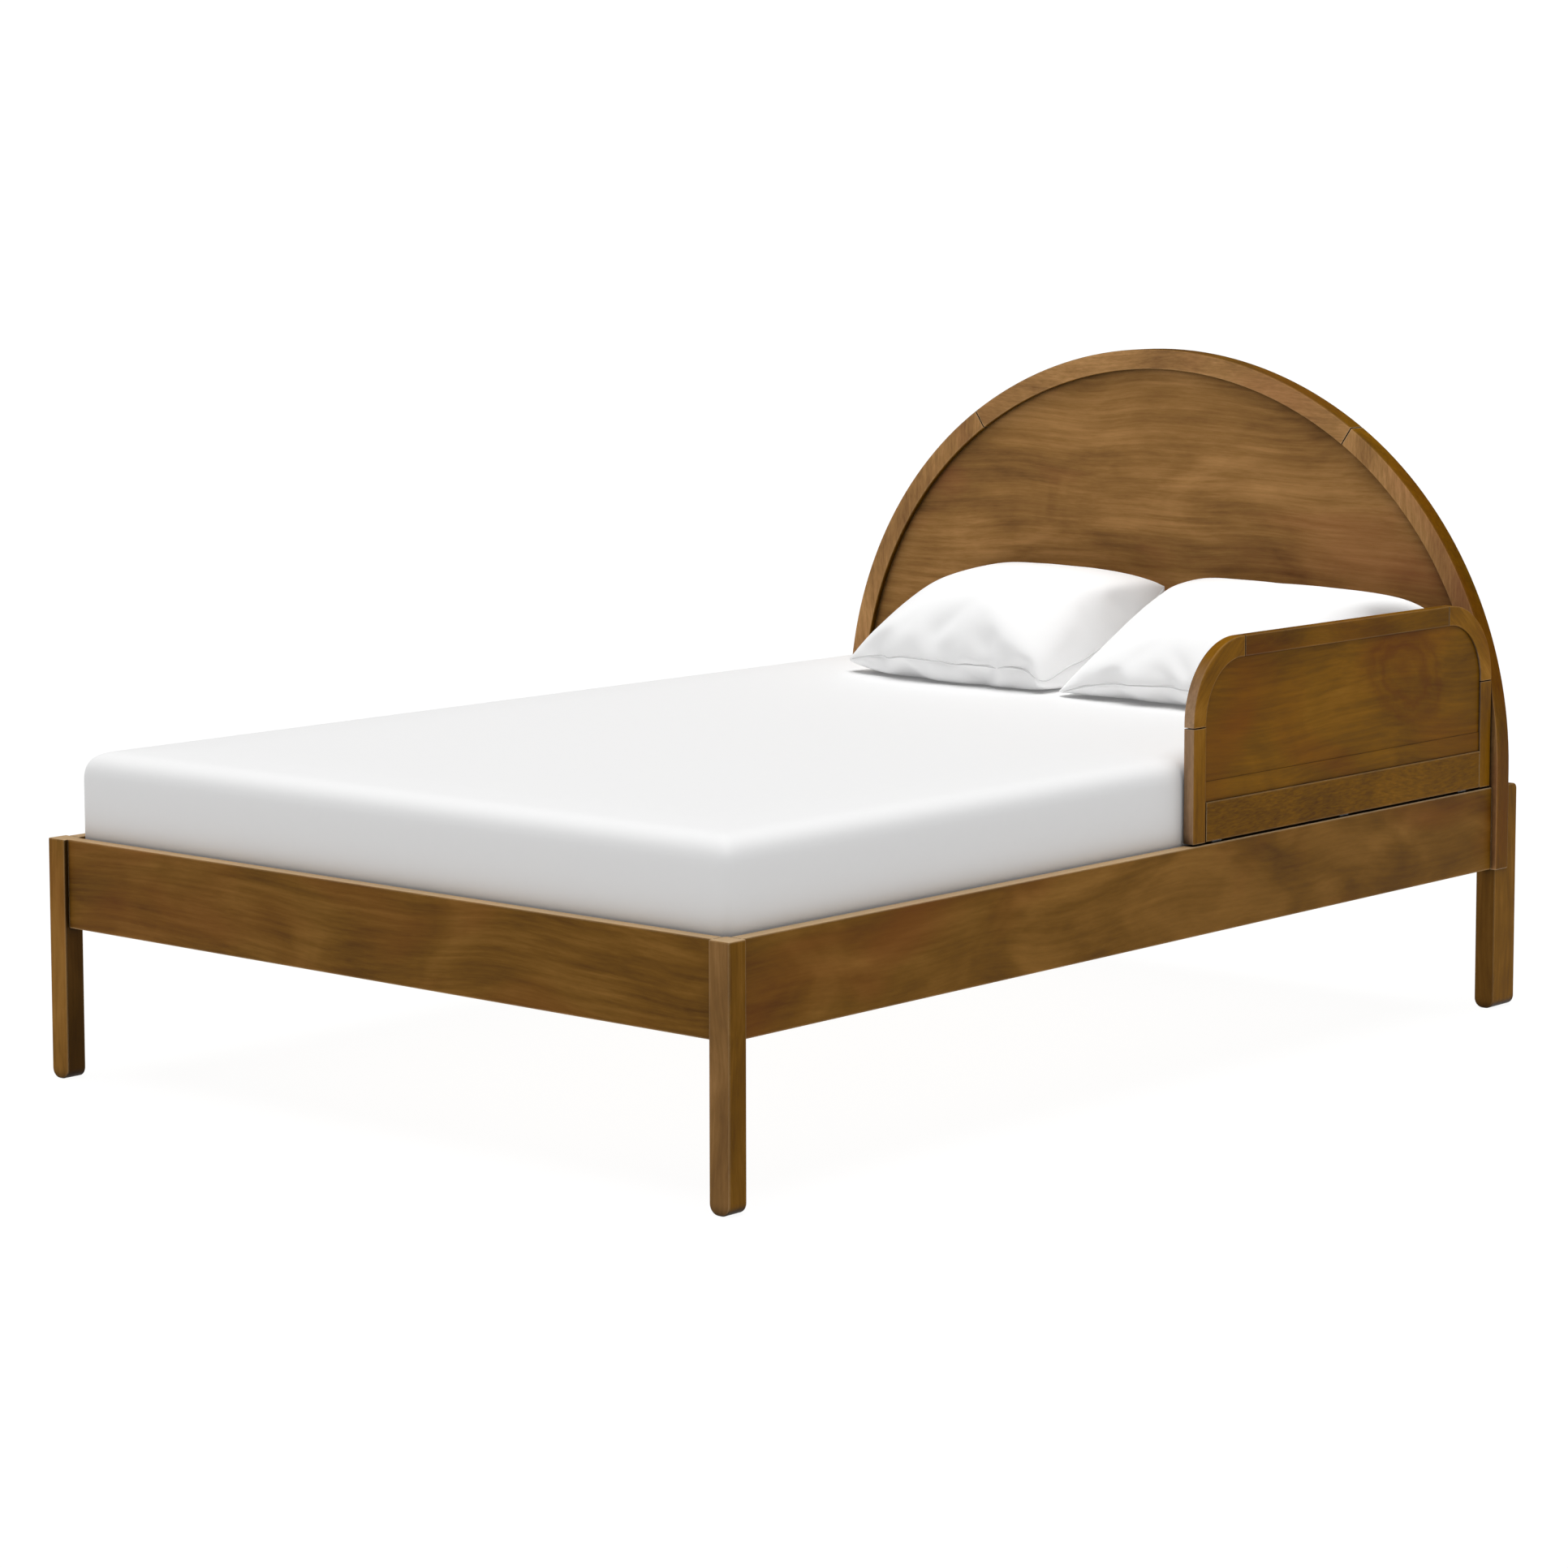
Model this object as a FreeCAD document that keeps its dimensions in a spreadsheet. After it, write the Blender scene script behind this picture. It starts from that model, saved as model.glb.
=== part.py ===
import FreeCAD, Part
import os
import Sketcher

# Full-size platform bed with an arched headboard, a lift-off guard rail, a slatted base,
# a mattress and two pillows. Millimetres, +Z up, +Y towards the headboard, +X towards the
# side with the guard rail. The origin is on the floor, under the middle of the bed.

doc = FreeCAD.newDocument("arched_bed")
sheet = doc.addObject("Spreadsheet::Sheet", "Sizes")
places = doc.addObject("App::VarSet", "Places")
nodes = {}

SIZES = {
    # whole bed
    "bed_width": 1448,            # over the posts
    "bed_length": 2032,           # over the posts
    # posts
    "post_width": 38,             # left to right, all four posts
    "foot_post_depth": 36,
    "head_post_depth": 66,
    "head_post_rise": 2,          # head post above the rails
    "head_post_round": 10,        # back top corner
    "foot_round": 16,             # rounded lower ends, leaving a narrow flat
    "edge_round": 2,              # eased edges of the timber
    # rails
    "rail_top": 385,
    "rail_height": 142,
    "rail_thickness": 22,
    "rail_recess": 8,             # rail face behind the post face
    # arch
    "arch_ring": 36,              # width of the arch seen from the front
    "arch_thickness": 37,
    "arch_side_proud": 3,         # beyond the side of the post
    "arch_front_proud": 1.6,      # in front of the head post
    "arch_spring": 415,           # height where the straight legs end
    "arch_rise": 700,             # from there to the top of the crown
    "arch_joint_angle": 56.5,     # degrees from horizontal to the joints of the crown
    "arch_joint_turn": 0.09,      # degrees left open on each side of such a joint
    "arch_edge_round": 2.5,
    # headboard panel and the rail below it
    "panel_thickness": 12,
    "panel_recess": 12,           # behind the front of the arch
    "panel_tongue": 7.5,          # panel edge held in the groove
    "groove_play": 0.5,           # spare depth of each groove
    "head_rail_setback": 7.35,    # behind the front of the arch
    # guard rail
    "guard_length": 865,
    "guard_height": 318,
    "guard_thickness": 20,
    "guard_recess": 2,            # face behind the face of the side rail
    "guard_head_gap": 3.5,        # to the arch
    "guard_rail_gap": 3.5,        # above the side rail
    "guard_frame": 33,            # width of stiles and top rail
    "guard_corner_round": 130,
    "guard_corner_reach": 135,
    "guard_joint_gap": 2,
    "guard_base_height": 63,
    "guard_base_gap": 1.5,        # between bottom rail and stiles
    "guard_panel_thickness": 9,
    "guard_panel_recess": 4,
    "guard_panel_tongue": 6,
    "guard_strip_height": 32,
    "guard_strip_proud": 0.8,
    # drop-in tongues of the guard rail
    "tongue_width": 25,
    "tongue_thickness": 3,
    "tongue_hold": 45,            # length inside the guard rail
    "tongue_reach": 55,           # length inside the side rail
    "tongue_play": 0.5,           # clearance all round in the side rail
    "tongue_end_inset": 75,       # from the end of the guard rail to the tongue's middle
    "tongue_screw_diameter": 4,
    "tongue_screw_length": 14,
    "tongue_screw_head": 8,
    # slatted base
    "mattress_well": 63,          # top of the slats below the top of the rails
    "slat_thickness": 18,
    "slat_width": 68,
    "slat_count": 14,
    "slat_margin": 10,            # from posts and arch to the end slats
    "slat_end_play": 1.5,
    "slat_edge_round": 3,
    "cleat_size": 22,
    "strap_width": 25,
    "strap_thickness": 1.2,
    "strap_offset": 450,          # from the middle of the bed
    "beam_width": 40,
    "beam_rise": 1,               # underside above the underside of the rails
    "hanger_gauge": 2,
    "hanger_length": 40,
    "hanger_wing": 25,
    # hardware
    "stud_diameter": 6,
    "stud_in_post": 24,
    "stud_in_rail": 46,
    "stud_inset": 9,              # from the inner face of the rail to the stud
    "side_stud_spread": 76,
    "cross_stud_spread": 44,
    "nut_pocket_start": 26,
    "nut_pocket_length": 30,
    "nut_pocket_height": 24,
    "nut_pocket_depth": 16.5,
    "nut_flats": 10,
    "nut_thickness": 5,
    "washer_diameter": 12,
    "washer_thickness": 1.6,
    "dowel_diameter": 8,
    "dowel_half": 15,
    "dowel_stagger": 12,
    "headboard_bolt_diameter": 8,
    "headboard_bolt_length": 50,
    "headboard_bolt_spread": 108,
    "headboard_bolt_head": 15,
    "headboard_bolt_sink": 5,
    "arch_dowel_diameter": 10,
    "arch_dowel_half": 28,
    "guard_dowel_diameter": 6,
    "guard_dowel_half": 15,
    "guard_dowel_inset": 12,
    "wood_screw_diameter": 5,
    "wood_screw_head": 9,
    "wood_screw_head_height": 3,
    "cleat_screw_length": 38,
    "cleat_screw_count": 6,
    "slat_screw_length": 32,
    "hanger_screw_length": 18,
    # soft goods
    "mattress_thickness": 203,
    "mattress_side_gap": 4,       # from each side rail
    "mattress_foot_gap": 4,       # from the foot rail
    "mattress_head_gap": 25.4,    # from the arch
    "mattress_edge_round": 20,
    "mattress_corner_round": 22,
    "soft_gap": 0.3,              # kept between soft and hard pieces
    "pillow_side_gap": 94,        # from the side of the mattress, with the pillows centred
    "pillow_depth": 430,
    "pillow_thickness": 140,
    "pillow_tilt": 12,            # degrees, towards the headboard
    "pillow_end_round": 45,
    "pillow_head_gap": 6,         # to the front of the arch
    "pillow_split": 40,           # where the pillows meet, from the middle of the bed
    "pillow_split_gap": 8,
}

for row, (alias, size) in enumerate(SIZES.items(), 1):
    sheet.set(f"A{row}", str(size))
    sheet.setAlias(f"A{row}", alias)
doc.recompute()

PLACES = {
    "half_width": "Sizes.bed_width / 2",
    "foot_face": "-Sizes.bed_length / 2",
    "head_face": "Sizes.bed_length / 2",
    "post_inside": "half_width - Sizes.post_width",
    "foot_post_back": "foot_face + Sizes.foot_post_depth",
    "head_post_front": "head_face - Sizes.head_post_depth",
    "head_post_top": "Sizes.rail_top + Sizes.head_post_rise",
    "rail_bottom": "Sizes.rail_top - Sizes.rail_height",
    "rail_middle": "Sizes.rail_top - Sizes.rail_height / 2",
    "rail_outside": "half_width - Sizes.rail_recess",
    "rail_inside": "rail_outside - Sizes.rail_thickness",
    "foot_rail_outside": "foot_face + Sizes.rail_recess",
    "foot_rail_inside": "foot_rail_outside + Sizes.rail_thickness",
    "arch_front": "head_post_front - Sizes.arch_front_proud",
    "arch_back": "arch_front + Sizes.arch_thickness",
    "arch_half": "half_width + Sizes.arch_side_proud",
    "arch_inside": "arch_half - Sizes.arch_ring",
    "head_rail_front": "arch_front + Sizes.head_rail_setback",
    "joint_share": "(1 - sin(Sizes.arch_joint_angle)) / cos(Sizes.arch_joint_angle)",
    "side_radius": "(Sizes.arch_rise - arch_half * joint_share) / (1 - joint_share)",
    "side_centre": "arch_half - side_radius",
    "crown_radius": "side_radius + side_centre / cos(Sizes.arch_joint_angle)",
    "crown_centre": "Sizes.arch_spring - side_centre * tan(Sizes.arch_joint_angle)",
    "panel_front": "arch_front + Sizes.panel_recess",
    "panel_bottom": "Sizes.rail_top - Sizes.panel_tongue",
    "guard_outside": "rail_outside - Sizes.guard_recess",
    "guard_inside": "guard_outside - Sizes.guard_thickness",
    "guard_head_end": "arch_front - Sizes.guard_head_gap",
    "guard_foot_end": "guard_head_end - Sizes.guard_length",
    "guard_bottom": "Sizes.rail_top + Sizes.guard_rail_gap",
    "guard_top": "guard_bottom + Sizes.guard_height",
    "guard_base_top": "guard_bottom + Sizes.guard_base_height",
    "guard_panel_outside": "guard_outside - Sizes.guard_panel_recess",
    "guard_panel_inside": "guard_panel_outside - Sizes.guard_panel_thickness",
    "guard_middle": "(guard_outside + guard_inside) / 2",
    "slat_top": "Sizes.rail_top - Sizes.mattress_well",
    "slat_bottom": "slat_top - Sizes.slat_thickness",
    "slat_half": "rail_inside - Sizes.slat_end_play",
    "slat_first": "foot_post_back + Sizes.slat_margin",
    "slat_last": "arch_front - Sizes.slat_margin - Sizes.slat_width",
    "slat_pitch": "(slat_last - slat_first) / (Sizes.slat_count - 1)",
    "cleat_inside": "rail_inside - Sizes.cleat_size",
    "cleat_bottom": "slat_bottom - Sizes.cleat_size",
    "beam_bottom": "rail_bottom + Sizes.beam_rise",
    "beam_height": "slat_bottom - beam_bottom",
    "beam_foot_end": "foot_rail_inside + Sizes.hanger_gauge",
    "beam_head_end": "head_rail_front - Sizes.hanger_gauge",
    "side_stud_x": "rail_inside + Sizes.stud_inset",
    "foot_stud_y": "foot_rail_inside - Sizes.stud_inset",
    "head_stud_y": "head_rail_front + Sizes.stud_inset",
    "mattress_bottom": "slat_top + Sizes.soft_gap",
    "mattress_top": "mattress_bottom + Sizes.mattress_thickness",
    "mattress_foot": "foot_rail_inside + Sizes.mattress_foot_gap",
    "mattress_head": "arch_front - Sizes.mattress_head_gap",
    "mattress_half": "rail_inside - Sizes.mattress_side_gap",
    "pillow_width": "mattress_half - Sizes.pillow_side_gap - Sizes.pillow_split_gap / 2",
    "pillow_run": "(Sizes.pillow_depth - Sizes.pillow_thickness) * cos(Sizes.pillow_tilt)",
    "pillow_front": "arch_front - Sizes.pillow_head_gap - Sizes.pillow_thickness / 2 - pillow_run",
}

for name, expression in PLACES.items():
    places.addProperty("App::PropertyFloat", name)
    places.setExpression(name, expression)
    doc.recompute()

# ---------------------------------------------------------------- helpers

PLANES = {"x": "YZ_Plane", "y": "XZ_Plane", "z": "XY_Plane"}

ROTATIONS = {
    "+x": FreeCAD.Rotation(FreeCAD.Vector(0, 1, 0), 90),
    "-x": FreeCAD.Rotation(FreeCAD.Vector(0, 1, 0), -90),
    "+y": FreeCAD.Rotation(FreeCAD.Vector(1, 0, 0), -90),
    "-y": FreeCAD.Rotation(FreeCAD.Vector(1, 0, 0), 90),
    "+z": FreeCAD.Rotation(),
    "-z": FreeCAD.Rotation(FreeCAD.Vector(1, 0, 0), 180),
}


def value(expression):
    """Number that an expression on the sheet or the places gives."""
    return float(places.evalExpression(expression))


def keep(name, piece):
    """Name a finished piece and list it for export."""
    piece.Label = name
    nodes[name] = piece
    return piece


def arc_between(start, end, centre):
    """Arc of at most half a turn, and whether it runs from end to start instead."""
    radius = start.distanceToPoint(centre)
    backwards = (start - centre).cross(end - centre).z < 0
    first, last = (end, start) if backwards else (start, end)
    flat = FreeCAD.Vector(1, 0, 0)
    up = FreeCAD.Vector(0, 0, 1)
    turns = [flat.getAngle(point - centre) for point in (first, last)]
    turns = [turn if (point - centre).y >= 0 else -turn for turn, point in zip(turns, (first, last))]
    return Part.ArcOfCircle(Part.Circle(centre, up, radius), turns[0], turns[1]), backwards


def outline(body, axis, start, corners):
    """Closed sketch across `axis`, at `start` along it.

    A corner is two expressions, or four where an arc leaves it: its place and the arc's centre.
    """
    sketch = body.newObject("Sketcher::SketchObject", "outline")
    plane = next(item for item in body.Origin.OriginFeatures if item.Role == PLANES[axis])
    sketch.AttachmentSupport = (plane, "")
    sketch.MapMode = "FlatFace"
    sketch.setExpression("AttachmentOffset.Base.z", f"-({start})" if axis == "y" else start)
    points = [FreeCAD.Vector(value(corner[0]), value(corner[1]), 0) for corner in corners]
    ends = []
    for number, corner in enumerate(corners):
        begin = points[number]
        finish = points[(number + 1) % len(points)]
        if len(corner) == 2:
            sketch.addGeometry(Part.LineSegment(begin, finish))
            ends.append((1, 2))
        else:
            centre = FreeCAD.Vector(value(corner[2]), value(corner[3]), 0)
            arc, backwards = arc_between(begin, finish, centre)
            sketch.addGeometry(arc)
            ends.append((2, 1) if backwards else (1, 2))
            flat_chord = abs(finish.x - begin.x) > abs(finish.y - begin.y)
            fix(sketch, "DistanceY" if flat_chord else "DistanceX", number, 3,
                corner[3] if flat_chord else corner[2])
    for number, corner in enumerate(corners):
        following = (number + 1) % len(corners)
        sketch.addConstraint(Sketcher.Constraint(
            "Coincident", number, ends[number][1], following, ends[following][0]))
        fix(sketch, "DistanceX", number, ends[number][0], corner[0])
        fix(sketch, "DistanceY", number, ends[number][0], corner[1])
    return sketch


def fix(sketch, kind, geometry, point, expression):
    """Tie one coordinate of a sketch point to an expression."""
    constraint = Sketcher.Constraint(kind, geometry, point, value(expression))
    number = sketch.addConstraint(constraint)
    sketch.setExpression(f"Constraints[{number}]", expression)


def pad(body, axis, start, length, corners):
    """Raise an outline along +axis from `start` by `length`."""
    feature = body.newObject("PartDesign::Pad", "pad")
    feature.Profile = outline(body, axis, start, corners)
    feature.setExpression("Length", length)
    feature.Reversed = axis == "y"
    return feature


def solid(name, axis, start, length, corners):
    """Body padded from one outline."""
    body = doc.addObject("PartDesign::Body", name)
    pad(body, axis, start, length, corners)
    return body


def ease(body, radius, pick):
    """Round the edges that `pick` chooses."""
    doc.recompute()
    tip = body.Tip
    names = [f"Edge{number}" for number, edge in enumerate(tip.Shape.Edges, 1) if pick(edge)]
    fillet = body.newObject("PartDesign::Fillet", "eased")
    fillet.Base = (tip, names)
    fillet.setExpression("Radius", radius)
    return body


def runs(edge, axis):
    """True for a straight edge along an axis."""
    box = edge.BoundBox
    spans = {"x": box.XLength, "y": box.YLength, "z": box.ZLength}
    return all((spans[name] > 1e-3) == (name == axis) for name in spans)


def lies(edge, axis, *expressions):
    """True for an edge in a plane across `axis` at one of the places."""
    box = edge.BoundBox
    low, high = {"x": (box.XMin, box.XMax), "y": (box.YMin, box.YMax), "z": (box.ZMin, box.ZMax)}[axis]
    return any(abs(low - value(text)) < 1e-3 and abs(high - value(text)) < 1e-3 for text in expressions)


def rectangle(low_a, high_a, low_b, high_b):
    """Corners of a rectangle for `outline`."""
    return [(low_a, low_b), (high_a, low_b), (high_a, high_b), (low_a, high_b)]


def bar(name, axis, start, length, section, radius="Sizes.edge_round"):
    """Straight bar with its four long edges eased."""
    body = solid(name, axis, start, length, rectangle(*section))
    return ease(body, radius, lambda edge: runs(edge, axis))


def rod(start, direction, diameter, length):
    """Round rod from `start` along a direction such as "+x"."""
    cylinder = doc.addObject("Part::Cylinder", "rod")
    cylinder.setExpression("Radius", f"({diameter}) / 2")
    cylinder.setExpression("Height", length)
    cylinder.Placement = FreeCAD.Placement(FreeCAD.Vector(), ROTATIONS[direction])
    for axis, expression in zip("xyz", start):
        cylinder.setExpression(f"Placement.Base.{axis}", expression)
    return cylinder


def block(start, spans):
    """Plain box from its lowest corner."""
    box = doc.addObject("Part::Box", "block")
    for side, expression in zip(("Length", "Width", "Height"), spans):
        box.setExpression(side, expression)
    for axis, expression in zip("xyz", start):
        box.setExpression(f"Placement.Base.{axis}", expression)
    return box


def screw(start, direction, diameter, length, head_diameter, head_height):
    """Screw whose head starts at `start` and whose shank runs on along the direction."""
    fused = doc.addObject("Part::Fuse", "screw")
    fused.Base = rod(start, direction, head_diameter, head_height)
    fused.Tool = rod(start, direction, diameter, length)
    return fused


def group(pieces):
    """Separate solids kept as one piece."""
    compound = doc.addObject("Part::Compound", "group")
    compound.Links = pieces
    return compound


def cut(piece, *tools):
    """Cut each tool's shape out of a piece."""
    for tool in tools:
        result = doc.addObject("Part::Cut", "cut")
        result.Base = piece
        result.Tool = tool
        piece = result
    return piece


# ---------------------------------------------------------------- hardware of the frame

SIDES = (("left", -1), ("right", 1))


def at(centre, sign, distance):
    """Expression for a place `distance` from `centre`, on the side that `sign` gives."""
    return f"{centre} + ({sign}) * ({distance})"


def rail_ends():
    """Each rail end: where the joint is, the way into the rail, and its stud spread and dowel side."""
    ends = []
    for side, sign in SIDES:
        x = f"{sign} * Places.side_stud_x"
        ends.append(((x, "Places.foot_post_back"), "+y", "Sizes.side_stud_spread", 1))
        ends.append(((x, "Places.arch_front"), "-y", "Sizes.side_stud_spread", 1))
        inward = "-x" if sign > 0 else "+x"
        ends.append(((f"{sign} * Places.post_inside", "Places.foot_stud_y"), inward,
                     "Sizes.cross_stud_spread", -1))
        ends.append(((f"{sign} * Places.arch_inside", "Places.head_stud_y"), inward,
                     "Sizes.cross_stud_spread", -1))
    return ends


def along(place, direction, distance):
    """Move a rail end's place along the direction."""
    x, y = place
    sign = -1 if direction[0] == "-" else 1
    if direction[1] == "x":
        return (at(x, sign, distance), y)
    return (x, at(y, sign, distance))


studs = []
washers = []
nuts = []
dowels = []
for place, inward, spread, dowel_side in rail_ends():
    for level in (-1, 1):
        height = at("Places.rail_middle", level, f"{spread} / 2")
        stud_length = "Sizes.stud_in_post + Sizes.stud_in_rail"
        base = along(place, inward, "-Sizes.stud_in_post")
        studs.append(rod((*base, height), inward, "Sizes.stud_diameter", stud_length))
        base = along(place, inward, "Sizes.nut_pocket_start")
        washers.append(rod((*base, height), inward, "Sizes.washer_diameter", "Sizes.washer_thickness"))
        base = along(place, inward, "Sizes.nut_pocket_start + Sizes.washer_thickness")
        nut = doc.addObject("Part::Prism", "nut")
        nut.Polygon = 6
        nut.setExpression("Circumradius", "Sizes.nut_flats / 2 / cos(30)")
        nut.setExpression("Height", "Sizes.nut_thickness")
        nut.Placement = FreeCAD.Placement(FreeCAD.Vector(), ROTATIONS[inward])
        for axis, expression in zip("xyz", (*base, height)):
            nut.setExpression(f"Placement.Base.{axis}", expression)
        nuts.append(nut)
    height = at("Places.rail_middle", dowel_side, "Sizes.dowel_stagger")
    base = along(place, inward, "-Sizes.dowel_half")
    dowels.append(rod((*base, height), inward, "Sizes.dowel_diameter", "2 * Sizes.dowel_half"))

rail_studs = keep("rail_studs", group(studs))
rail_dowels = keep("rail_dowels", group(dowels))
keep("stud_washers", cut(group(washers), rail_studs))
keep("stud_nuts", cut(group(nuts), rail_studs))


def nut_pockets(inward_axis):
    """Pockets on the inner faces of the rails, one round each pair of washer and nut."""
    pockets = []
    for place, inward, spread, _ in rail_ends():
        if inward[1] != inward_axis:
            continue
        for level in (-1, 1):
            height = at("Places.rail_middle", level, f"{spread} / 2")
            low_z = f"{height} - Sizes.nut_pocket_height / 2"
            reach = "Sizes.nut_pocket_start"
            if inward[0] == "-":
                reach += " + Sizes.nut_pocket_length"
            x, y = along(place, inward, reach)
            depth = "Sizes.nut_pocket_depth"
            if inward_axis == "y":
                face = "Places.rail_inside" if value(x) > 0 else f"-Places.rail_inside - {depth}"
                corner = (face, y, low_z)
                spans = (depth, "Sizes.nut_pocket_length", "Sizes.nut_pocket_height")
            else:
                at_foot = value(y) < 0
                face = f"Places.foot_rail_inside - {depth}" if at_foot else "Places.head_rail_front"
                corner = (x, face, low_z)
                spans = ("Sizes.nut_pocket_length", depth, "Sizes.nut_pocket_height")
            pockets.append(block(corner, spans))
    return group(pockets)


side_pockets = nut_pockets("y")
cross_pockets = nut_pockets("x")

headboard_bolts = []
for side, sign in SIDES:
    for level in (-1, 1):
        start = (f"{sign} * (Places.arch_half - Sizes.arch_ring / 2)", "Places.head_face",
                 at("Places.rail_middle", level, "Sizes.headboard_bolt_spread / 2"))
        headboard_bolts.append(screw(start, "-y", "Sizes.headboard_bolt_diameter",
                                     "Sizes.headboard_bolt_length", "Sizes.headboard_bolt_head",
                                     "Sizes.headboard_bolt_sink"))
headboard_bolts = keep("headboard_bolts", group(headboard_bolts))

# ---------------------------------------------------------------- posts


def foot_post(side, sign):
    """Square post with a rounded lower end."""
    outer = f"{sign} * Places.half_width"
    inner = f"{sign} * Places.post_inside"
    radius = "Sizes.foot_round"
    outer_turn = at(outer, -sign, radius)
    inner_turn = at(inner, sign, radius)
    body = solid(f"foot_post_{side}", "y", "Places.foot_face", "Sizes.foot_post_depth", [
        (inner, "Sizes.rail_top"),
        (outer, "Sizes.rail_top"),
        (outer, radius, outer_turn, radius),
        (outer_turn, "0"),
        (inner_turn, "0", inner_turn, radius),
        (inner, radius),
    ])
    ease(body, "Sizes.edge_round", lambda edge: lies(edge, "y", "Places.foot_face", "Places.foot_post_back")
         or lies(edge, "z", "Sizes.rail_top"))
    return keep(f"foot_post_{side}", cut(body, rail_studs, rail_dowels))


def head_post(side, sign):
    """Deep post, notched in front for the foot of the arch, rounded at its back top corner."""
    start = "Places.post_inside" if sign > 0 else "-Places.half_width"
    top = "Places.head_post_top"
    turn_y = "Places.head_face - Sizes.head_post_round"
    turn_z = f"{top} - Sizes.head_post_round"
    body = solid(f"head_post_{side}", "x", start, "Sizes.post_width", [
        ("Places.head_post_front", "0"),
        ("Places.head_face", "0"),
        ("Places.head_face", turn_z, turn_y, turn_z),
        (turn_y, top),
        ("Places.arch_back", top),
        ("Places.arch_back", "Places.rail_bottom"),
        ("Places.head_post_front", "Places.rail_bottom"),
    ])
    ease(body, "Sizes.foot_round", lambda edge: runs(edge, "y") and lies(edge, "z", "0"))
    sides = ("Places.half_width", "Places.post_inside", "-Places.half_width", "-Places.post_inside")

    def outer_edge(edge):
        notch = lies(edge, "y", "Places.arch_back") or lies(edge, "z", "Places.rail_bottom")
        on_side = lies(edge, "x", *sides)
        return not notch and (on_side or lies(edge, "y", "Places.head_post_front", "Places.head_face"))

    ease(body, "Sizes.edge_round", outer_edge)
    return keep(f"head_post_{side}", cut(body, headboard_bolts))


for side, sign in SIDES:
    foot_post(side, sign)
    head_post(side, sign)

# ---------------------------------------------------------------- arch and its panel


def ring_point(centre_x, centre_z, radius, angle, mirror=1):
    """Place on an arc of the arch, `angle` up from horizontal."""
    x = f"{mirror} * (({centre_x}) + ({radius}) * cos({angle}))"
    return (x, f"({centre_z}) + ({radius}) * sin({angle})")


def arch_leg(side, sign):
    """Straight leg that turns into the side of the arch, up to the joint with the crown."""
    outer = "Places.side_radius"
    inner = "Places.side_radius - Sizes.arch_ring"
    angle = "Sizes.arch_joint_angle - Sizes.arch_joint_turn"
    centre = (f"{sign} * Places.side_centre", "Sizes.arch_spring")
    outer_end = ring_point("Places.side_centre", "Sizes.arch_spring", outer, angle, sign)
    inner_end = ring_point("Places.side_centre", "Sizes.arch_spring", inner, angle, sign)
    body = solid(f"arch_leg_{side}", "y", "Places.arch_front", "Sizes.arch_thickness", [
        (f"{sign} * Places.arch_half", "Places.rail_bottom"),
        (f"{sign} * Places.arch_half", "Sizes.arch_spring", *centre),
        outer_end,
        (*inner_end, *centre),
        (f"{sign} * Places.arch_inside", "Sizes.arch_spring"),
        (f"{sign} * Places.arch_inside", "Places.rail_bottom"),
    ])

    def long_edge(edge):
        on_face = lies(edge, "y", "Places.arch_front", "Places.arch_back")
        return on_face and (runs(edge, "z") or edge.Curve.TypeId == "Part::GeomCircle")

    return ease(body, "Sizes.arch_edge_round", long_edge)


def arch_crown():
    """Top of the arch between the two joints."""
    outer = "Places.crown_radius"
    inner = "Places.crown_radius - Sizes.arch_ring"
    angle = "Sizes.arch_joint_angle + Sizes.arch_joint_turn"
    centre = ("0", "Places.crown_centre")
    points = {}
    for name, radius in (("outer", outer), ("inner", inner)):
        for side, sign in SIDES:
            points[name, side] = ring_point("0", "Places.crown_centre", radius, angle, sign)
    body = solid("arch_crown", "y", "Places.arch_front", "Sizes.arch_thickness", [
        (*points["outer", "right"], *centre),
        points["outer", "left"],
        (*points["inner", "left"], *centre),
        points["inner", "right"],
    ])

    def long_edge(edge):
        on_face = lies(edge, "y", "Places.arch_front", "Places.arch_back")
        return on_face and edge.Curve.TypeId == "Part::GeomCircle"

    return ease(body, "Sizes.arch_edge_round", long_edge)


def panel_shape(name, tongue, bottom):
    """Board that fills the arch, its edge `tongue` deep in the ring."""
    inset = f"Sizes.arch_ring - ({tongue})"
    half = f"Places.arch_half - ({inset})"
    joint = "Sizes.arch_joint_angle"
    radius = f"Places.side_radius - ({inset})"
    right_joint = ring_point("Places.side_centre", "Sizes.arch_spring", radius, joint, 1)
    left_joint = ring_point("Places.side_centre", "Sizes.arch_spring", radius, joint, -1)
    return solid(name, "y", "Places.panel_front", "Sizes.panel_thickness", [
        (f"-({half})", bottom),
        (half, bottom),
        (half, "Sizes.arch_spring", "Places.side_centre", "Sizes.arch_spring"),
        (*right_joint, "0", "Places.crown_centre"),
        (*left_joint, "-Places.side_centre", "Sizes.arch_spring"),
        (f"-({half})", "Sizes.arch_spring"),
    ])


keep("headboard_panel", panel_shape("headboard_panel", "Sizes.panel_tongue", "Places.panel_bottom"))
panel_groove = panel_shape("panel_groove", "Sizes.panel_tongue + Sizes.groove_play",
                           "Places.panel_bottom - Sizes.groove_play")

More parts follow.
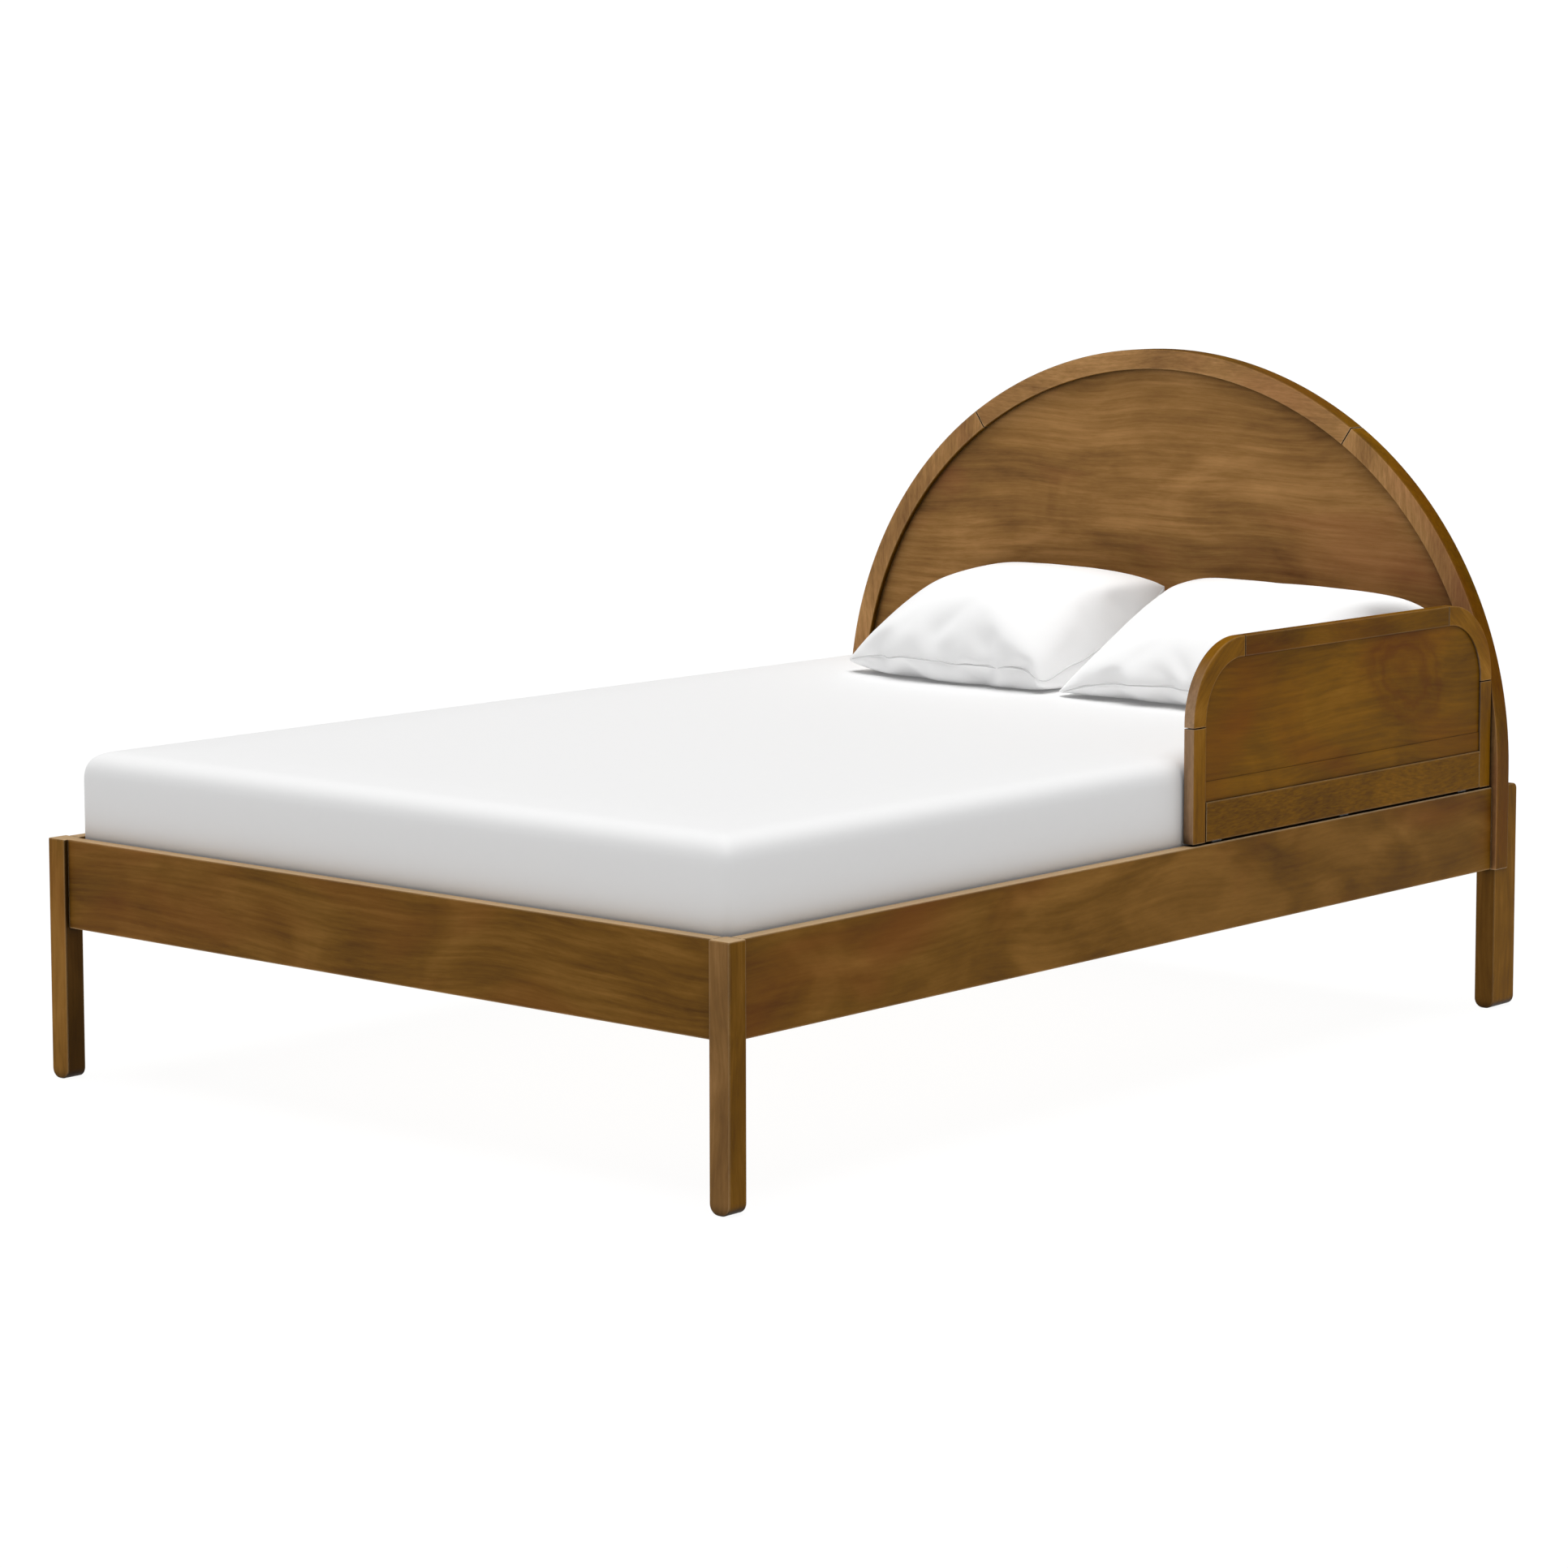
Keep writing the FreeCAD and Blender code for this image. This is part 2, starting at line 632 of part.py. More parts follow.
arch_dowels = []
for side, sign in SIDES:
    middle = ring_point("Places.side_centre", "Sizes.arch_spring",
                        "Places.side_radius - Sizes.arch_ring / 3", "Sizes.arch_joint_angle", sign)
    for depth_share in ("0.25", "0.75"):
        dowel = doc.addObject("Part::Cylinder", "arch_dowel")
        dowel.setExpression("Radius", "Sizes.arch_dowel_diameter / 2")
        dowel.setExpression("Height", "2 * Sizes.arch_dowel_half")
        tilt = FreeCAD.Rotation(FreeCAD.Vector(0, -sign, 0), value("Sizes.arch_joint_angle"))
        dowel.Placement = FreeCAD.Placement(FreeCAD.Vector(), tilt)
        dowel.setExpression("Placement.Rotation.Angle", "Sizes.arch_joint_angle")
        shift_x = f"{sign} * Sizes.arch_dowel_half * sin(Sizes.arch_joint_angle)"
        shift_z = "Sizes.arch_dowel_half * cos(Sizes.arch_joint_angle)"
        dowel.setExpression("Placement.Base.x", f"{middle[0]} + {shift_x}")
        dowel.setExpression("Placement.Base.y", f"Places.arch_front + {depth_share} * Sizes.arch_thickness")
        dowel.setExpression("Placement.Base.z", f"{middle[1]} - {shift_z}")
        arch_dowels.append(dowel)
arch_dowels = keep("arch_dowels", group(arch_dowels))

for side, sign in SIDES:
    leg = cut(arch_leg(side, sign), panel_groove, arch_dowels, rail_studs, rail_dowels, headboard_bolts)
    keep(f"arch_leg_{side}", leg)
keep("arch_crown", cut(arch_crown(), panel_groove, arch_dowels))

# ---------------------------------------------------------------- guard rail, lifts off the right rail

GUARD_ENDS = (("foot", "Places.guard_foot_end", 1), ("head", "Places.guard_head_end", -1))

tongues = []
tongue_screws = []
tongue_middles = [at(end, sign, "Sizes.tongue_end_inset") for _, end, sign in GUARD_ENDS]
tongue_middles.append("(Places.guard_foot_end + Places.guard_head_end) / 2")
for middle in tongue_middles:
    low_x = "Places.guard_middle - Sizes.tongue_thickness / 2"
    low_y = f"{middle} - Sizes.tongue_width / 2"
    tongues.append(block((low_x, low_y, "Sizes.rail_top - Sizes.tongue_reach"), (
        "Sizes.tongue_thickness", "Sizes.tongue_width",
        "Sizes.tongue_reach + Sizes.guard_rail_gap + Sizes.tongue_hold")))
    for share in ("1 / 3", "3 / 4"):
        height = f"Places.guard_bottom + Sizes.tongue_hold * {share}"
        tongue_screws.append(screw(("Places.guard_inside", middle, height), "+x",
                                   "Sizes.tongue_screw_diameter", "Sizes.tongue_screw_length",
                                   "Sizes.tongue_screw_head", "Sizes.tongue_screw_diameter / 2"))
tongue_screws = keep("guard_tongue_screws", group(tongue_screws))
tongue_blanks = group(tongues)
keep("guard_tongues", cut(tongue_blanks, tongue_screws))

mortises = []
for middle in tongue_middles:
    play = "Sizes.tongue_play"
    low_x = f"Places.guard_middle - Sizes.tongue_thickness / 2 - {play}"
    low_y = f"{middle} - Sizes.tongue_width / 2 - {play}"
    low_z = f"Sizes.rail_top - Sizes.tongue_reach - 2 * {play}"
    mortises.append(block((low_x, low_y, low_z), (
        f"Sizes.tongue_thickness + 2 * {play}", f"Sizes.tongue_width + 2 * {play}",
        f"Sizes.tongue_reach + 3 * {play}")))
tongue_mortises = group(mortises)

guard_dowels = []
for _, end, sign in GUARD_ENDS:
    upright = at(end, sign, "Sizes.guard_dowel_inset")
    stile_joint = "Places.guard_top - Sizes.guard_corner_reach"
    level = "Places.guard_top - Sizes.guard_dowel_inset"
    top_joint = at(end, sign, "Sizes.guard_corner_reach")
    stile_face = at(end, sign, "Sizes.guard_frame")
    base_level = "Places.guard_bottom + Sizes.guard_base_height / 2"
    half = "Sizes.guard_dowel_half"
    size = ("Sizes.guard_dowel_diameter", f"2 * {half}")
    guard_dowels.append(rod(("Places.guard_middle", upright, f"{stile_joint} - {half}"), "+z", *size))
    guard_dowels.append(rod(("Places.guard_middle", f"{top_joint} - {half}", level), "+y", *size))
    guard_dowels.append(rod(("Places.guard_middle", f"{stile_face} - {half}", base_level), "+y", *size))
guard_dowels = keep("guard_dowels", group(guard_dowels))


def guard_panel_board(name, tongue):
    """Guard panel with its edge `tongue` deep in the frame."""
    inset = f"Sizes.guard_frame - ({tongue})"
    foot = at("Places.guard_foot_end", 1, inset)
    head = at("Places.guard_head_end", -1, inset)
    top = f"Places.guard_top - ({inset})"
    bottom = f"Places.guard_base_top - ({tongue})"
    turn_z = "Places.guard_top - Sizes.guard_corner_round"
    head_turn = at("Places.guard_head_end", -1, "Sizes.guard_corner_round")
    foot_turn = at("Places.guard_foot_end", 1, "Sizes.guard_corner_round")
    return solid(name, "x", "Places.guard_panel_inside", "Sizes.guard_panel_thickness", [
        (foot, bottom),
        (head, bottom),
        (head, turn_z, head_turn, turn_z),
        (head_turn, top),
        (foot_turn, top, foot_turn, turn_z),
        (foot, turn_z),
    ])


guard_panel = guard_panel_board("guard_panel", "Sizes.guard_panel_tongue")
pad(guard_panel, "x", "Places.guard_panel_inside",
    "Sizes.guard_panel_thickness + Sizes.guard_strip_proud",
    rectangle("Places.guard_foot_end + Sizes.guard_frame", "Places.guard_head_end - Sizes.guard_frame",
              "Places.guard_base_top", "Places.guard_base_top + Sizes.guard_strip_height"))
keep("guard_panel", guard_panel)
guard_groove = guard_panel_board("guard_groove", "Sizes.guard_panel_tongue + Sizes.groove_play")


def guard_stile(name, end, sign):
    """Upright end of the guard rail, below the corner piece."""
    other = at(end, sign, "Sizes.guard_frame")
    low, high = (end, other) if sign > 0 else (other, end)
    length = "Places.guard_top - Sizes.guard_corner_reach - Sizes.guard_joint_gap - Places.guard_bottom"
    body = bar(f"guard_stile_{name}", "z", "Places.guard_bottom", length,
               ("Places.guard_inside", "Places.guard_outside", low, high))
    return keep(f"guard_stile_{name}", cut(body, guard_groove, guard_dowels))


def guard_corner(name, end, sign):
    """Quarter bend between a stile and the top rail."""
    top = "Places.guard_top"
    radius = "Sizes.guard_corner_round"
    reach = "Sizes.guard_corner_reach"
    frame = "Sizes.guard_frame"
    centre = (at(end, sign, radius), f"{top} - {radius}")
    body = solid(f"guard_corner_{name}", "x", "Places.guard_inside", "Sizes.guard_thickness", [
        (end, f"{top} - {reach}"),
        (end, f"{top} - {radius}", *centre),
        (at(end, sign, radius), top),
        (at(end, sign, reach), top),
        (at(end, sign, reach), f"{top} - {frame}"),
        (at(end, sign, radius), f"{top} - {frame}", *centre),
        (at(end, sign, frame), f"{top} - {radius}"),
        (at(end, sign, frame), f"{top} - {reach}"),
    ])
    faces = ("Places.guard_inside", "Places.guard_outside")
    at_stile = f"{top} - {reach}"
    at_rail = at(end, sign, reach)
    ease(body, "Sizes.edge_round", lambda edge: lies(edge, "x", *faces)
         and not lies(edge, "z", at_stile) and not lies(edge, "y", at_rail))
    return keep(f"guard_corner_{name}", cut(body, guard_groove, guard_dowels))


for name, end, sign in GUARD_ENDS:
    guard_stile(name, end, sign)
    guard_corner(name, end, sign)

top_start = "Places.guard_foot_end + Sizes.guard_corner_reach + Sizes.guard_joint_gap"
top_end = "Places.guard_head_end - Sizes.guard_corner_reach - Sizes.guard_joint_gap"
guard_top_rail = bar("guard_top_rail", "y", top_start, f"{top_end} - ({top_start})", (
    "Places.guard_inside", "Places.guard_outside",
    "Places.guard_top - Sizes.guard_frame", "Places.guard_top"))
keep("guard_top_rail", cut(guard_top_rail, guard_groove, guard_dowels))

base_start = "Places.guard_foot_end + Sizes.guard_frame + Sizes.guard_base_gap"
base_end = "Places.guard_head_end - Sizes.guard_frame - Sizes.guard_base_gap"
guard_bottom_rail = bar("guard_bottom_rail", "y", base_start, f"{base_end} - ({base_start})", (
    "Places.guard_inside", "Places.guard_outside", "Places.guard_bottom", "Places.guard_base_top"))
keep("guard_bottom_rail", cut(guard_bottom_rail, guard_groove, guard_dowels, tongue_blanks, tongue_screws))

# ---------------------------------------------------------------- slatted base

cleat_start = "Places.foot_post_back + Sizes.slat_margin"
cleat_length = "Places.arch_front - Sizes.slat_margin - Places.foot_post_back - Sizes.slat_margin"
cleat_screws = []
slat_screws = []
end_slats = ("Places.slat_first", "Places.slat_last")
for side, sign in SIDES:
    into = "+x" if sign > 0 else "-x"
    for number in range(int(value("Sizes.cleat_screw_count"))):
        share = f"({number} + 0.5) / Sizes.cleat_screw_count"
        start = (f"{sign} * Places.cleat_inside", f"{cleat_start} + ({cleat_length}) * {share}",
                 "Places.cleat_bottom + Sizes.cleat_size / 2")
        cleat_screws.append(screw(start, into, "Sizes.wood_screw_diameter", "Sizes.cleat_screw_length",
                                  "Sizes.wood_screw_head", "Sizes.wood_screw_head_height"))
    for slat in end_slats:
        start = (f"{sign} * (Places.cleat_inside + Sizes.cleat_size / 2)",
                 f"{slat} + Sizes.slat_width / 2", "Places.slat_top")
        slat_screws.append(screw(start, "-z", "Sizes.wood_screw_diameter", "Sizes.slat_screw_length",
                                 "Sizes.wood_screw_head", "Sizes.wood_screw_head_height"))
cleat_screws = keep("cleat_screws", group(cleat_screws))
slat_screws = keep("slat_screws", group(slat_screws))

for side, sign in SIDES:
    low, high = ("Places.cleat_inside", "Places.rail_inside")
    if sign < 0:
        low, high = (f"-{high}", f"-{low}")
    cleat = bar(f"slat_cleat_{side}", "y", cleat_start, cleat_length,
                (low, high, "Places.cleat_bottom", "Places.slat_bottom"))
    keep(f"slat_cleat_{side}", cut(cleat, cleat_screws, slat_screws))

slat_total = int(value("Sizes.slat_count"))
for number in range(slat_total):
    low_y = f"Places.slat_first + {number} * Places.slat_pitch"
    name = f"slat_{number + 1:02d}"
    slat = bar(name, "x", "-Places.slat_half", "2 * Places.slat_half",
               (low_y, f"{low_y} + Sizes.slat_width", "Places.slat_bottom", "Places.slat_top"),
               "Sizes.slat_edge_round")
    keep(name, cut(slat, slat_screws) if number in (0, slat_total - 1) else slat)

for side, sign in SIDES:
    middle = f"{sign} * Sizes.strap_offset"
    strap = block((f"{middle} - Sizes.strap_width / 2", "Places.slat_first",
                   "Places.slat_bottom - Sizes.strap_thickness"),
                  ("Sizes.strap_width", "Places.slat_last + Sizes.slat_width - Places.slat_first",
                   "Sizes.strap_thickness"))
    keep(f"slat_strap_{side}", strap)

keep("centre_beam", bar("centre_beam", "y", "Places.beam_foot_end",
                        "Places.beam_head_end - Places.beam_foot_end",
                        ("-Sizes.beam_width / 2", "Sizes.beam_width / 2",
                         "Places.beam_bottom + Sizes.hanger_gauge", "Places.slat_bottom")))

hanger_screws = []
for side, sign in SIDES:
    x = f"{sign} * (Sizes.beam_width / 2 + Sizes.hanger_gauge + Sizes.hanger_wing / 2)"
    for share in ("0.25", "0.75"):
        height = f"Places.beam_bottom + Places.beam_height * {share}"
        for face, direction in (("Places.beam_foot_end", "-y"), ("Places.beam_head_end", "+y")):
            hanger_screws.append(screw((x, face, height), direction, "Sizes.tongue_screw_diameter",
                                       "Sizes.hanger_screw_length", "Sizes.tongue_screw_head",
                                       "Sizes.hanger_gauge / 2"))
hanger_screws = keep("beam_hanger_screws", group(hanger_screws))


def beam_hanger(name, plate_start, cradle_start):
    """Folded steel stirrup: a back plate with two wings and a cradle under the beam."""
    gauge = "Sizes.hanger_gauge"
    inner = "Sizes.beam_width / 2"
    outer = f"({inner} + {gauge})"
    wing = f"({outer} + Sizes.hanger_wing)"
    body = solid(name, "y", plate_start, gauge,
                 rectangle(f"-{wing}", wing, "Places.beam_bottom", "Places.slat_bottom"))
    pad(body, "y", cradle_start, "Sizes.hanger_length", [
        (f"-{outer}", "Places.beam_bottom"),
        (outer, "Places.beam_bottom"),
        (outer, "Places.slat_bottom"),
        (inner, "Places.slat_bottom"),
        (inner, f"Places.beam_bottom + {gauge}"),
        (f"-{inner}", f"Places.beam_bottom + {gauge}"),
        (f"-{inner}", "Places.slat_bottom"),
        (f"-{outer}", "Places.slat_bottom"),
    ])
    return keep(name, cut(body, hanger_screws))


beam_hanger("beam_hanger_foot", "Places.foot_rail_inside", "Places.beam_foot_end")
beam_hanger("beam_hanger_head", "Places.beam_head_end", "Places.beam_head_end - Sizes.hanger_length")

# ---------------------------------------------------------------- rails

rail_hardware = (rail_studs, rail_dowels)
for side, sign in SIDES:
    low, high = ("Places.rail_inside", "Places.rail_outside")
    if sign < 0:
        low, high = (f"-{high}", f"-{low}")
    rail = bar(f"side_rail_{side}", "y", "Places.foot_post_back", "Places.arch_front - Places.foot_post_back",
               (low, high, "Places.rail_bottom", "Sizes.rail_top"))
    rail = cut(rail, side_pockets, *rail_hardware, cleat_screws)
    if side == "right":
        rail = cut(rail, tongue_mortises)
    keep(f"side_rail_{side}", rail)

foot_rail = bar("foot_rail", "x", "-Places.post_inside", "2 * Places.post_inside",
                ("Places.foot_rail_outside", "Places.foot_rail_inside",
                 "Places.rail_bottom", "Sizes.rail_top"))
keep("foot_rail", cut(foot_rail, cross_pockets, *rail_hardware, hanger_screws))

head_rail = bar("head_rail", "x", "-Places.arch_inside", "2 * Places.arch_inside",
                ("Places.head_rail_front", "Places.head_rail_front + Sizes.rail_thickness",
                 "Places.rail_bottom", "Sizes.rail_top"))
keep("head_rail", cut(head_rail, cross_pockets, *rail_hardware, panel_groove, hanger_screws))

# ---------------------------------------------------------------- mattress and pillows

mattress = solid("mattress", "z", "Places.mattress_bottom", "Sizes.mattress_thickness",
                 rectangle("-Places.mattress_half", "Places.mattress_half",
                           "Places.mattress_foot", "Places.mattress_head"))
ease(mattress, "Sizes.mattress_corner_round", lambda edge: runs(edge, "z"))
ease(mattress, "Sizes.mattress_edge_round",
     lambda edge: lies(edge, "z", "Places.mattress_bottom", "Places.mattress_top"))
keep("mattress", mattress)


def pillow(side, start):
    """Soft slab with round front and back, lying tilted against the headboard."""
    half = "Sizes.pillow_thickness / 2"
    far = "Sizes.pillow_depth - Sizes.pillow_thickness"
    body = solid(f"pillow_{side}", "x", "0", "Places.pillow_width", [
        ("0", f"-{half}"),
        (far, f"-{half}", far, "0"),
        (f"{far} + {half}", "0", far, "0"),
        (far, half),
        ("0", half, "0", "0"),
        (f"-{half}", "0", "0", "0"),
    ])
    ease(body, "Sizes.pillow_end_round", lambda edge: lies(edge, "x", "0", "Places.pillow_width"))
    tilt = FreeCAD.Rotation(FreeCAD.Vector(1, 0, 0), value("Sizes.pillow_tilt"))
    body.Placement = FreeCAD.Placement(FreeCAD.Vector(), tilt)
    body.setExpression("Placement.Rotation.Angle", "Sizes.pillow_tilt")
    body.setExpression("Placement.Base.x", start)
    body.setExpression("Placement.Base.y", "Places.pillow_front")
    body.setExpression("Placement.Base.z", f"Places.mattress_top + Sizes.soft_gap + {half}")
    return keep(f"pillow_{side}", body)


pillow("left", "Sizes.pillow_split - Sizes.pillow_split_gap / 2 - Places.pillow_width")
pillow("right", "Sizes.pillow_split + Sizes.pillow_split_gap / 2")

# ---------------------------------------------------------------- check and write

doc.recompute()
for item in doc.Objects:
    if "Invalid" in item.State or "Error" in item.State:
        raise RuntimeError(f"{item.Label} failed: {item.State}")
os.makedirs("parts", exist_ok=True)
for name, piece in nodes.items():
    if piece.Shape.isNull() or not piece.Shape.isValid():
        raise RuntimeError(f"{name} has no valid shape")
    piece.Shape.exportStep(f"parts/{name}.step")
print(len(nodes), "nodes written")
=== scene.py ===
"""Arched-headboard bed with a guard rail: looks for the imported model.

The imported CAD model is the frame.  Wood, steel and webbing keep their CAD shapes and get a
finish here; the mattress, its fitted sheet and the pillows are made here in place of the
plain solids that stand for them.  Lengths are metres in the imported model's own frame.
"""
import math

import bmesh
import bpy
from mathutils import Matrix, Vector
from mathutils.noise import noise_vector


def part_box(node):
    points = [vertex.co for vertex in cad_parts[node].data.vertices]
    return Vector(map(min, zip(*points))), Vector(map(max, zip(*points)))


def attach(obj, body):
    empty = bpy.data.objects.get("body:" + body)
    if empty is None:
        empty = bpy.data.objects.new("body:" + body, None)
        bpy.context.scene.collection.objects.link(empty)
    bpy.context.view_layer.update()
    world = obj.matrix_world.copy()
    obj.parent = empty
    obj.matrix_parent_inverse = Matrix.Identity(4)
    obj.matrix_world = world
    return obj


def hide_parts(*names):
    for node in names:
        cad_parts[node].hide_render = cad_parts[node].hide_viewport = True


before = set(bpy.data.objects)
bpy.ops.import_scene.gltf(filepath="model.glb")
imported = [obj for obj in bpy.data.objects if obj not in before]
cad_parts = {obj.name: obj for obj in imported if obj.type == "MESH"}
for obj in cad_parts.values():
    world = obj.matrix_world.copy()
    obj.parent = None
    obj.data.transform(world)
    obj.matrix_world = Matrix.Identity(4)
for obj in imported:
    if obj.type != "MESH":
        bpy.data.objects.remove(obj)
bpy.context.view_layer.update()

bl_info = {
    "name": "Arched Bed Looks",
    "version": (1, 0, 0),
    "blender": (4, 5, 0),
    "location": "3D View > Sidebar > Bed",
    "description": "Finishes, bedding and studio for the arched-headboard bed",
    "category": "Object",
}

CORNER_POWER = 5.6    # the mattress is nearly square at its corners
EDGE_POWER = 3.0      # and fuller than round along its edges

# The way each kind of board runs: the turn that brings its grain onto local X.
GRAIN_TURNS = {
    "across": (0, 0, 0),
    "lengthwise": (0, 0, math.radians(-90)),
    "upright": (0, math.radians(90), 0),
    "rising": (math.radians(-45), 0, math.radians(-90)),
    "falling": (math.radians(45), 0, math.radians(-90)),
}
BOARDS = {
    "across": ["foot_rail", "head_rail", "arch_crown"],
    "lengthwise": ["side_rail_left", "side_rail_right", "guard_top_rail"],
    "upright": ["foot_post_left", "foot_post_right", "head_post_left", "head_post_right",
                "arch_leg_left", "arch_leg_right", "guard_stile_foot", "guard_stile_head"],
    "rising": ["guard_corner_foot"],
    "falling": ["guard_corner_head"],
}

# How each group of boards took the stain: tone over all, and painted light and shade: lighter or darker
# front faces, painted highlights on tops and edges, painted shade on inward faces and in corners, and so
# on.
LOOKS = {
    ("foot_rail", "head_rail"): {"streak": 0.45, "edge_highlight": 1.0, "lit_top": 0.5, "shade_reach": 0.007},
    ("side_rail",): {"streak": 0.25, "edge_highlight": 1.0, "tone": 0.97, "rich": 1.02, "lit_top": 0.5,
                     "shade_reach": 0.007},
    ("foot_post_left",): {"streak": 0.4, "edge_highlight": 0.7, "tone": 0.92, "front": 1.35,
                          "lit_top": 0.5, "inner": (1, 0, 0)},
    ("foot_post_right",): {"streak": 0.4, "edge_highlight": 0.7, "tone": 0.9, "front": 1.4, "lit_front_saturation": 0.9,
                           "lit_top": 0.5, "inner": (-1, 0, 0)},
    ("head_post_left",): {"streak": 0.4, "edge_highlight": 0.5, "tone": 1.08, "front": 0.6,
                          "inner": (1, 0, 0)},
    ("head_post_right",): {"streak": 0.4, "edge_highlight": 0.5, "tone": 1.08, "front": 0.6,
                           "inner": (-1, 0, 0)},
    ("arch_",): {"streak": 0.4, "fleck": 0.14, "edge_highlight": 0.55, "tone": 0.85, "rich": 1.1,
                 "front": 2.75, "lit_front_saturation": 0.86},
    ("guard_top",): {"streak": 0.35, "fleck": 0.06, "edge_highlight": 0.3, "tone": 0.85, "rich": 1.08},
    ("guard_corner", "guard_stile"): {"streak": 0.35, "fleck": 0.06, "edge_highlight": 0.3, "tone": 1.36,
                                      "front": 1.4, "lit_front_saturation": 0.7},
}


# ---------------------------------------------------------------- settings

def colour_setting(name, description, hex_colour):
    """A colour a user can change, stored as the linear form of an sRGB hex value."""
    return bpy.props.FloatVectorProperty(
        name=name, description=description, default=linear(hex_colour)[:3],
        subtype="COLOR", size=3, min=0.0, max=1.0)


def length_setting(name, description, metres):
    """A length a user can change."""
    return bpy.props.FloatProperty(
        name=name, description=description, default=metres, min=0.0, unit="LENGTH")


def linear(hex_colour):
    """An sRGB hex colour as linear RGBA."""
    parts = [int(hex_colour[i:i + 2], 16) / 255 for i in (1, 3, 5)]
    return tuple(c / 12.92 if c <= 0.04045 else ((c + 0.055) / 1.055) ** 2.4 for c in parts) + (1.0,)


class BedWoodSettings(bpy.types.PropertyGroup):
    """Colours and grain sizes of the wooden pieces."""
    stain_dark: colour_setting("Dark stain", "Where the stain soaks in most", "#54350e")
    stain_mid: colour_setting("Middle stain", "Most of the wood", "#775119")
    stain_light: colour_setting("Light stain", "Hard, pale streaks of the grain", "#966a2f")
    stain_red: colour_setting("Red patches", "Warm patches under the stain", "#7b4318")
    # The rubbed-edge colour is the colour of the painted highlight on eased edges and of the painted
    # light on level tops.
    painted_highlight: colour_setting("Rubbed edge", "Stain sanded thin on the eased edges", "#dcc19b")
    band_width: length_setting("Grain band", "Width of one band of grain", 0.009)
    pore_width: length_setting("Pore line", "Width at which the pore lines are drawn", 0.0030)
    patch_width: length_setting("Stain patch", "Width of one cloud of stain", 0.13)


class BedLinenSettings(bpy.types.PropertyGroup):
    """Sizes and colours of the mattress, its sheet and the pillows."""
    sheet_colour: colour_setting("Sheet", "Bleached cotton of the fitted sheet", "#f4f4f4")
    pillow_colour: colour_setting("Pillow", "Bleached cotton of the pillow cases", "#fafafa")
    core_colour: colour_setting("Foam core", "Ticking round the mattress core", "#e9e6df")
    sheet_thickness: length_setting("Sheet thickness", "Thickness of the sheet's cloth", 0.0012)
    edge_fall: length_setting("Edge fall", "How far in from the sides the top starts to round", 0.052)
    crown_reach: length_setting("Crown reach", "How far in from the sides the crown levels out", 0.16)
    crown_drop: length_setting("Crown drop", "How far the crown drops at the sides", 0.006)
    tuck: length_setting("Tuck", "Sheet turned under the mattress", 0.09)
    pillow_depth: length_setting("Pillow depth", "Depth of a pillow lying loose", 0.47)
    pillow_loft: length_setting("Pillow loft", "Thickness of a pillow lying loose", 0.17)
    seam_width: length_setting("Seam", "Thickness of a pillow's stitched seam", 0.0035)


class BedStudioSettings(bpy.types.PropertyGroup):
    """Light, floor and camera."""
    camera_place: bpy.props.FloatVectorProperty(
        name="Camera place", description="Where the camera stands", size=3,
        default=(4.6312, -5.3649, 1.4365), subtype="TRANSLATION", unit="LENGTH")
    camera_turn: bpy.props.FloatProperty(
        name="Camera turn", description="Angle from looking along the bed",
        default=math.radians(40.463), subtype="ANGLE", unit="ROTATION")
    camera_pitch: bpy.props.FloatProperty(
        name="Camera pitch", description="Angle below the level", default=math.radians(6.03),
        subtype="ANGLE", unit="ROTATION")
    camera_lens: bpy.props.FloatProperty(
        name="Lens", description="Focal length in millimetres", default=99.408, min=1.0)
    camera_shift: bpy.props.FloatVectorProperty(
        name="Shift", description="Lens shift that centres the bed", size=2,
        default=(-0.035, -0.1))
    sun_strength: bpy.props.FloatProperty(
        name="Overhead light", description="Strength of the broad overhead light", default=3.12)
    sky_strength: bpy.props.FloatProperty(
        name="Fill light", description="Strength of the even light all round", default=0.12)
    floor_glow: bpy.props.FloatProperty(
        name="Floor glow", description="Light given by the shadowless floor", default=0.95)


# ---------------------------------------------------------------- shared helpers

def add_node(owner, kind, values=None, **settings):
    """Adds a node with its settings, and fills or links its inputs."""
    node = owner.node_tree.nodes.new(kind)
    for name, value in settings.items():
        setattr(node, name, value)
    for socket, value in (values or {}).items():
        if isinstance(value, bpy.types.NodeSocket):
            owner.node_tree.links.new(value, node.inputs[socket])
        else:
            node.inputs[socket].default_value = value
    return node


def new_material(name, **surface):
    """A material with one Principled shader, and that shader."""
    material = bpy.data.materials.new(name)
    material.use_nodes = True
    shader = material.node_tree.nodes["Principled BSDF"]
    for socket, value in surface.items():
        shader.inputs[socket.replace("_", " ")].default_value = value
    return material, shader


def link(material, output, socket):
    """Joins two sockets of a material."""
    material.node_tree.links.new(output, socket)


def deselect():
    """Leaves nothing selected, so that an operator acts only on what follows."""
    if bpy.context.object and bpy.context.object.mode != "OBJECT":
        bpy.ops.object.mode_set(mode="OBJECT")
    bpy.ops.object.select_all(action="DESELECT")


def make_active(piece):
    """Selects one piece and makes it the active one."""
    deselect()
    piece.select_set(True)
    bpy.context.view_layer.objects.active = piece


def apply_modifier(piece, kind, **settings):
    """Adds a modifier, sets it and applies it."""
    make_active(piece)
    modifier = piece.modifiers.new(kind.title(), kind)
    for name, value in settings.items():
        setattr(modifier, name, value)
    bpy.ops.object.modifier_apply(modifier=modifier.name)


def paint(piece, material):
    """Gives a piece one material."""
    piece.data.materials.clear()
    piece.data.materials.append(material)


def refinish(names, material):
    """Puts a material in the slots of CAD nodes."""
    for name in names:
        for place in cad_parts[name].material_slots:
            place.material = material


def node_names(*starts):
    """CAD nodes whose names start with any of these words."""
    return [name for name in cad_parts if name.startswith(starts)]


# ---------------------------------------------------------------- finishes

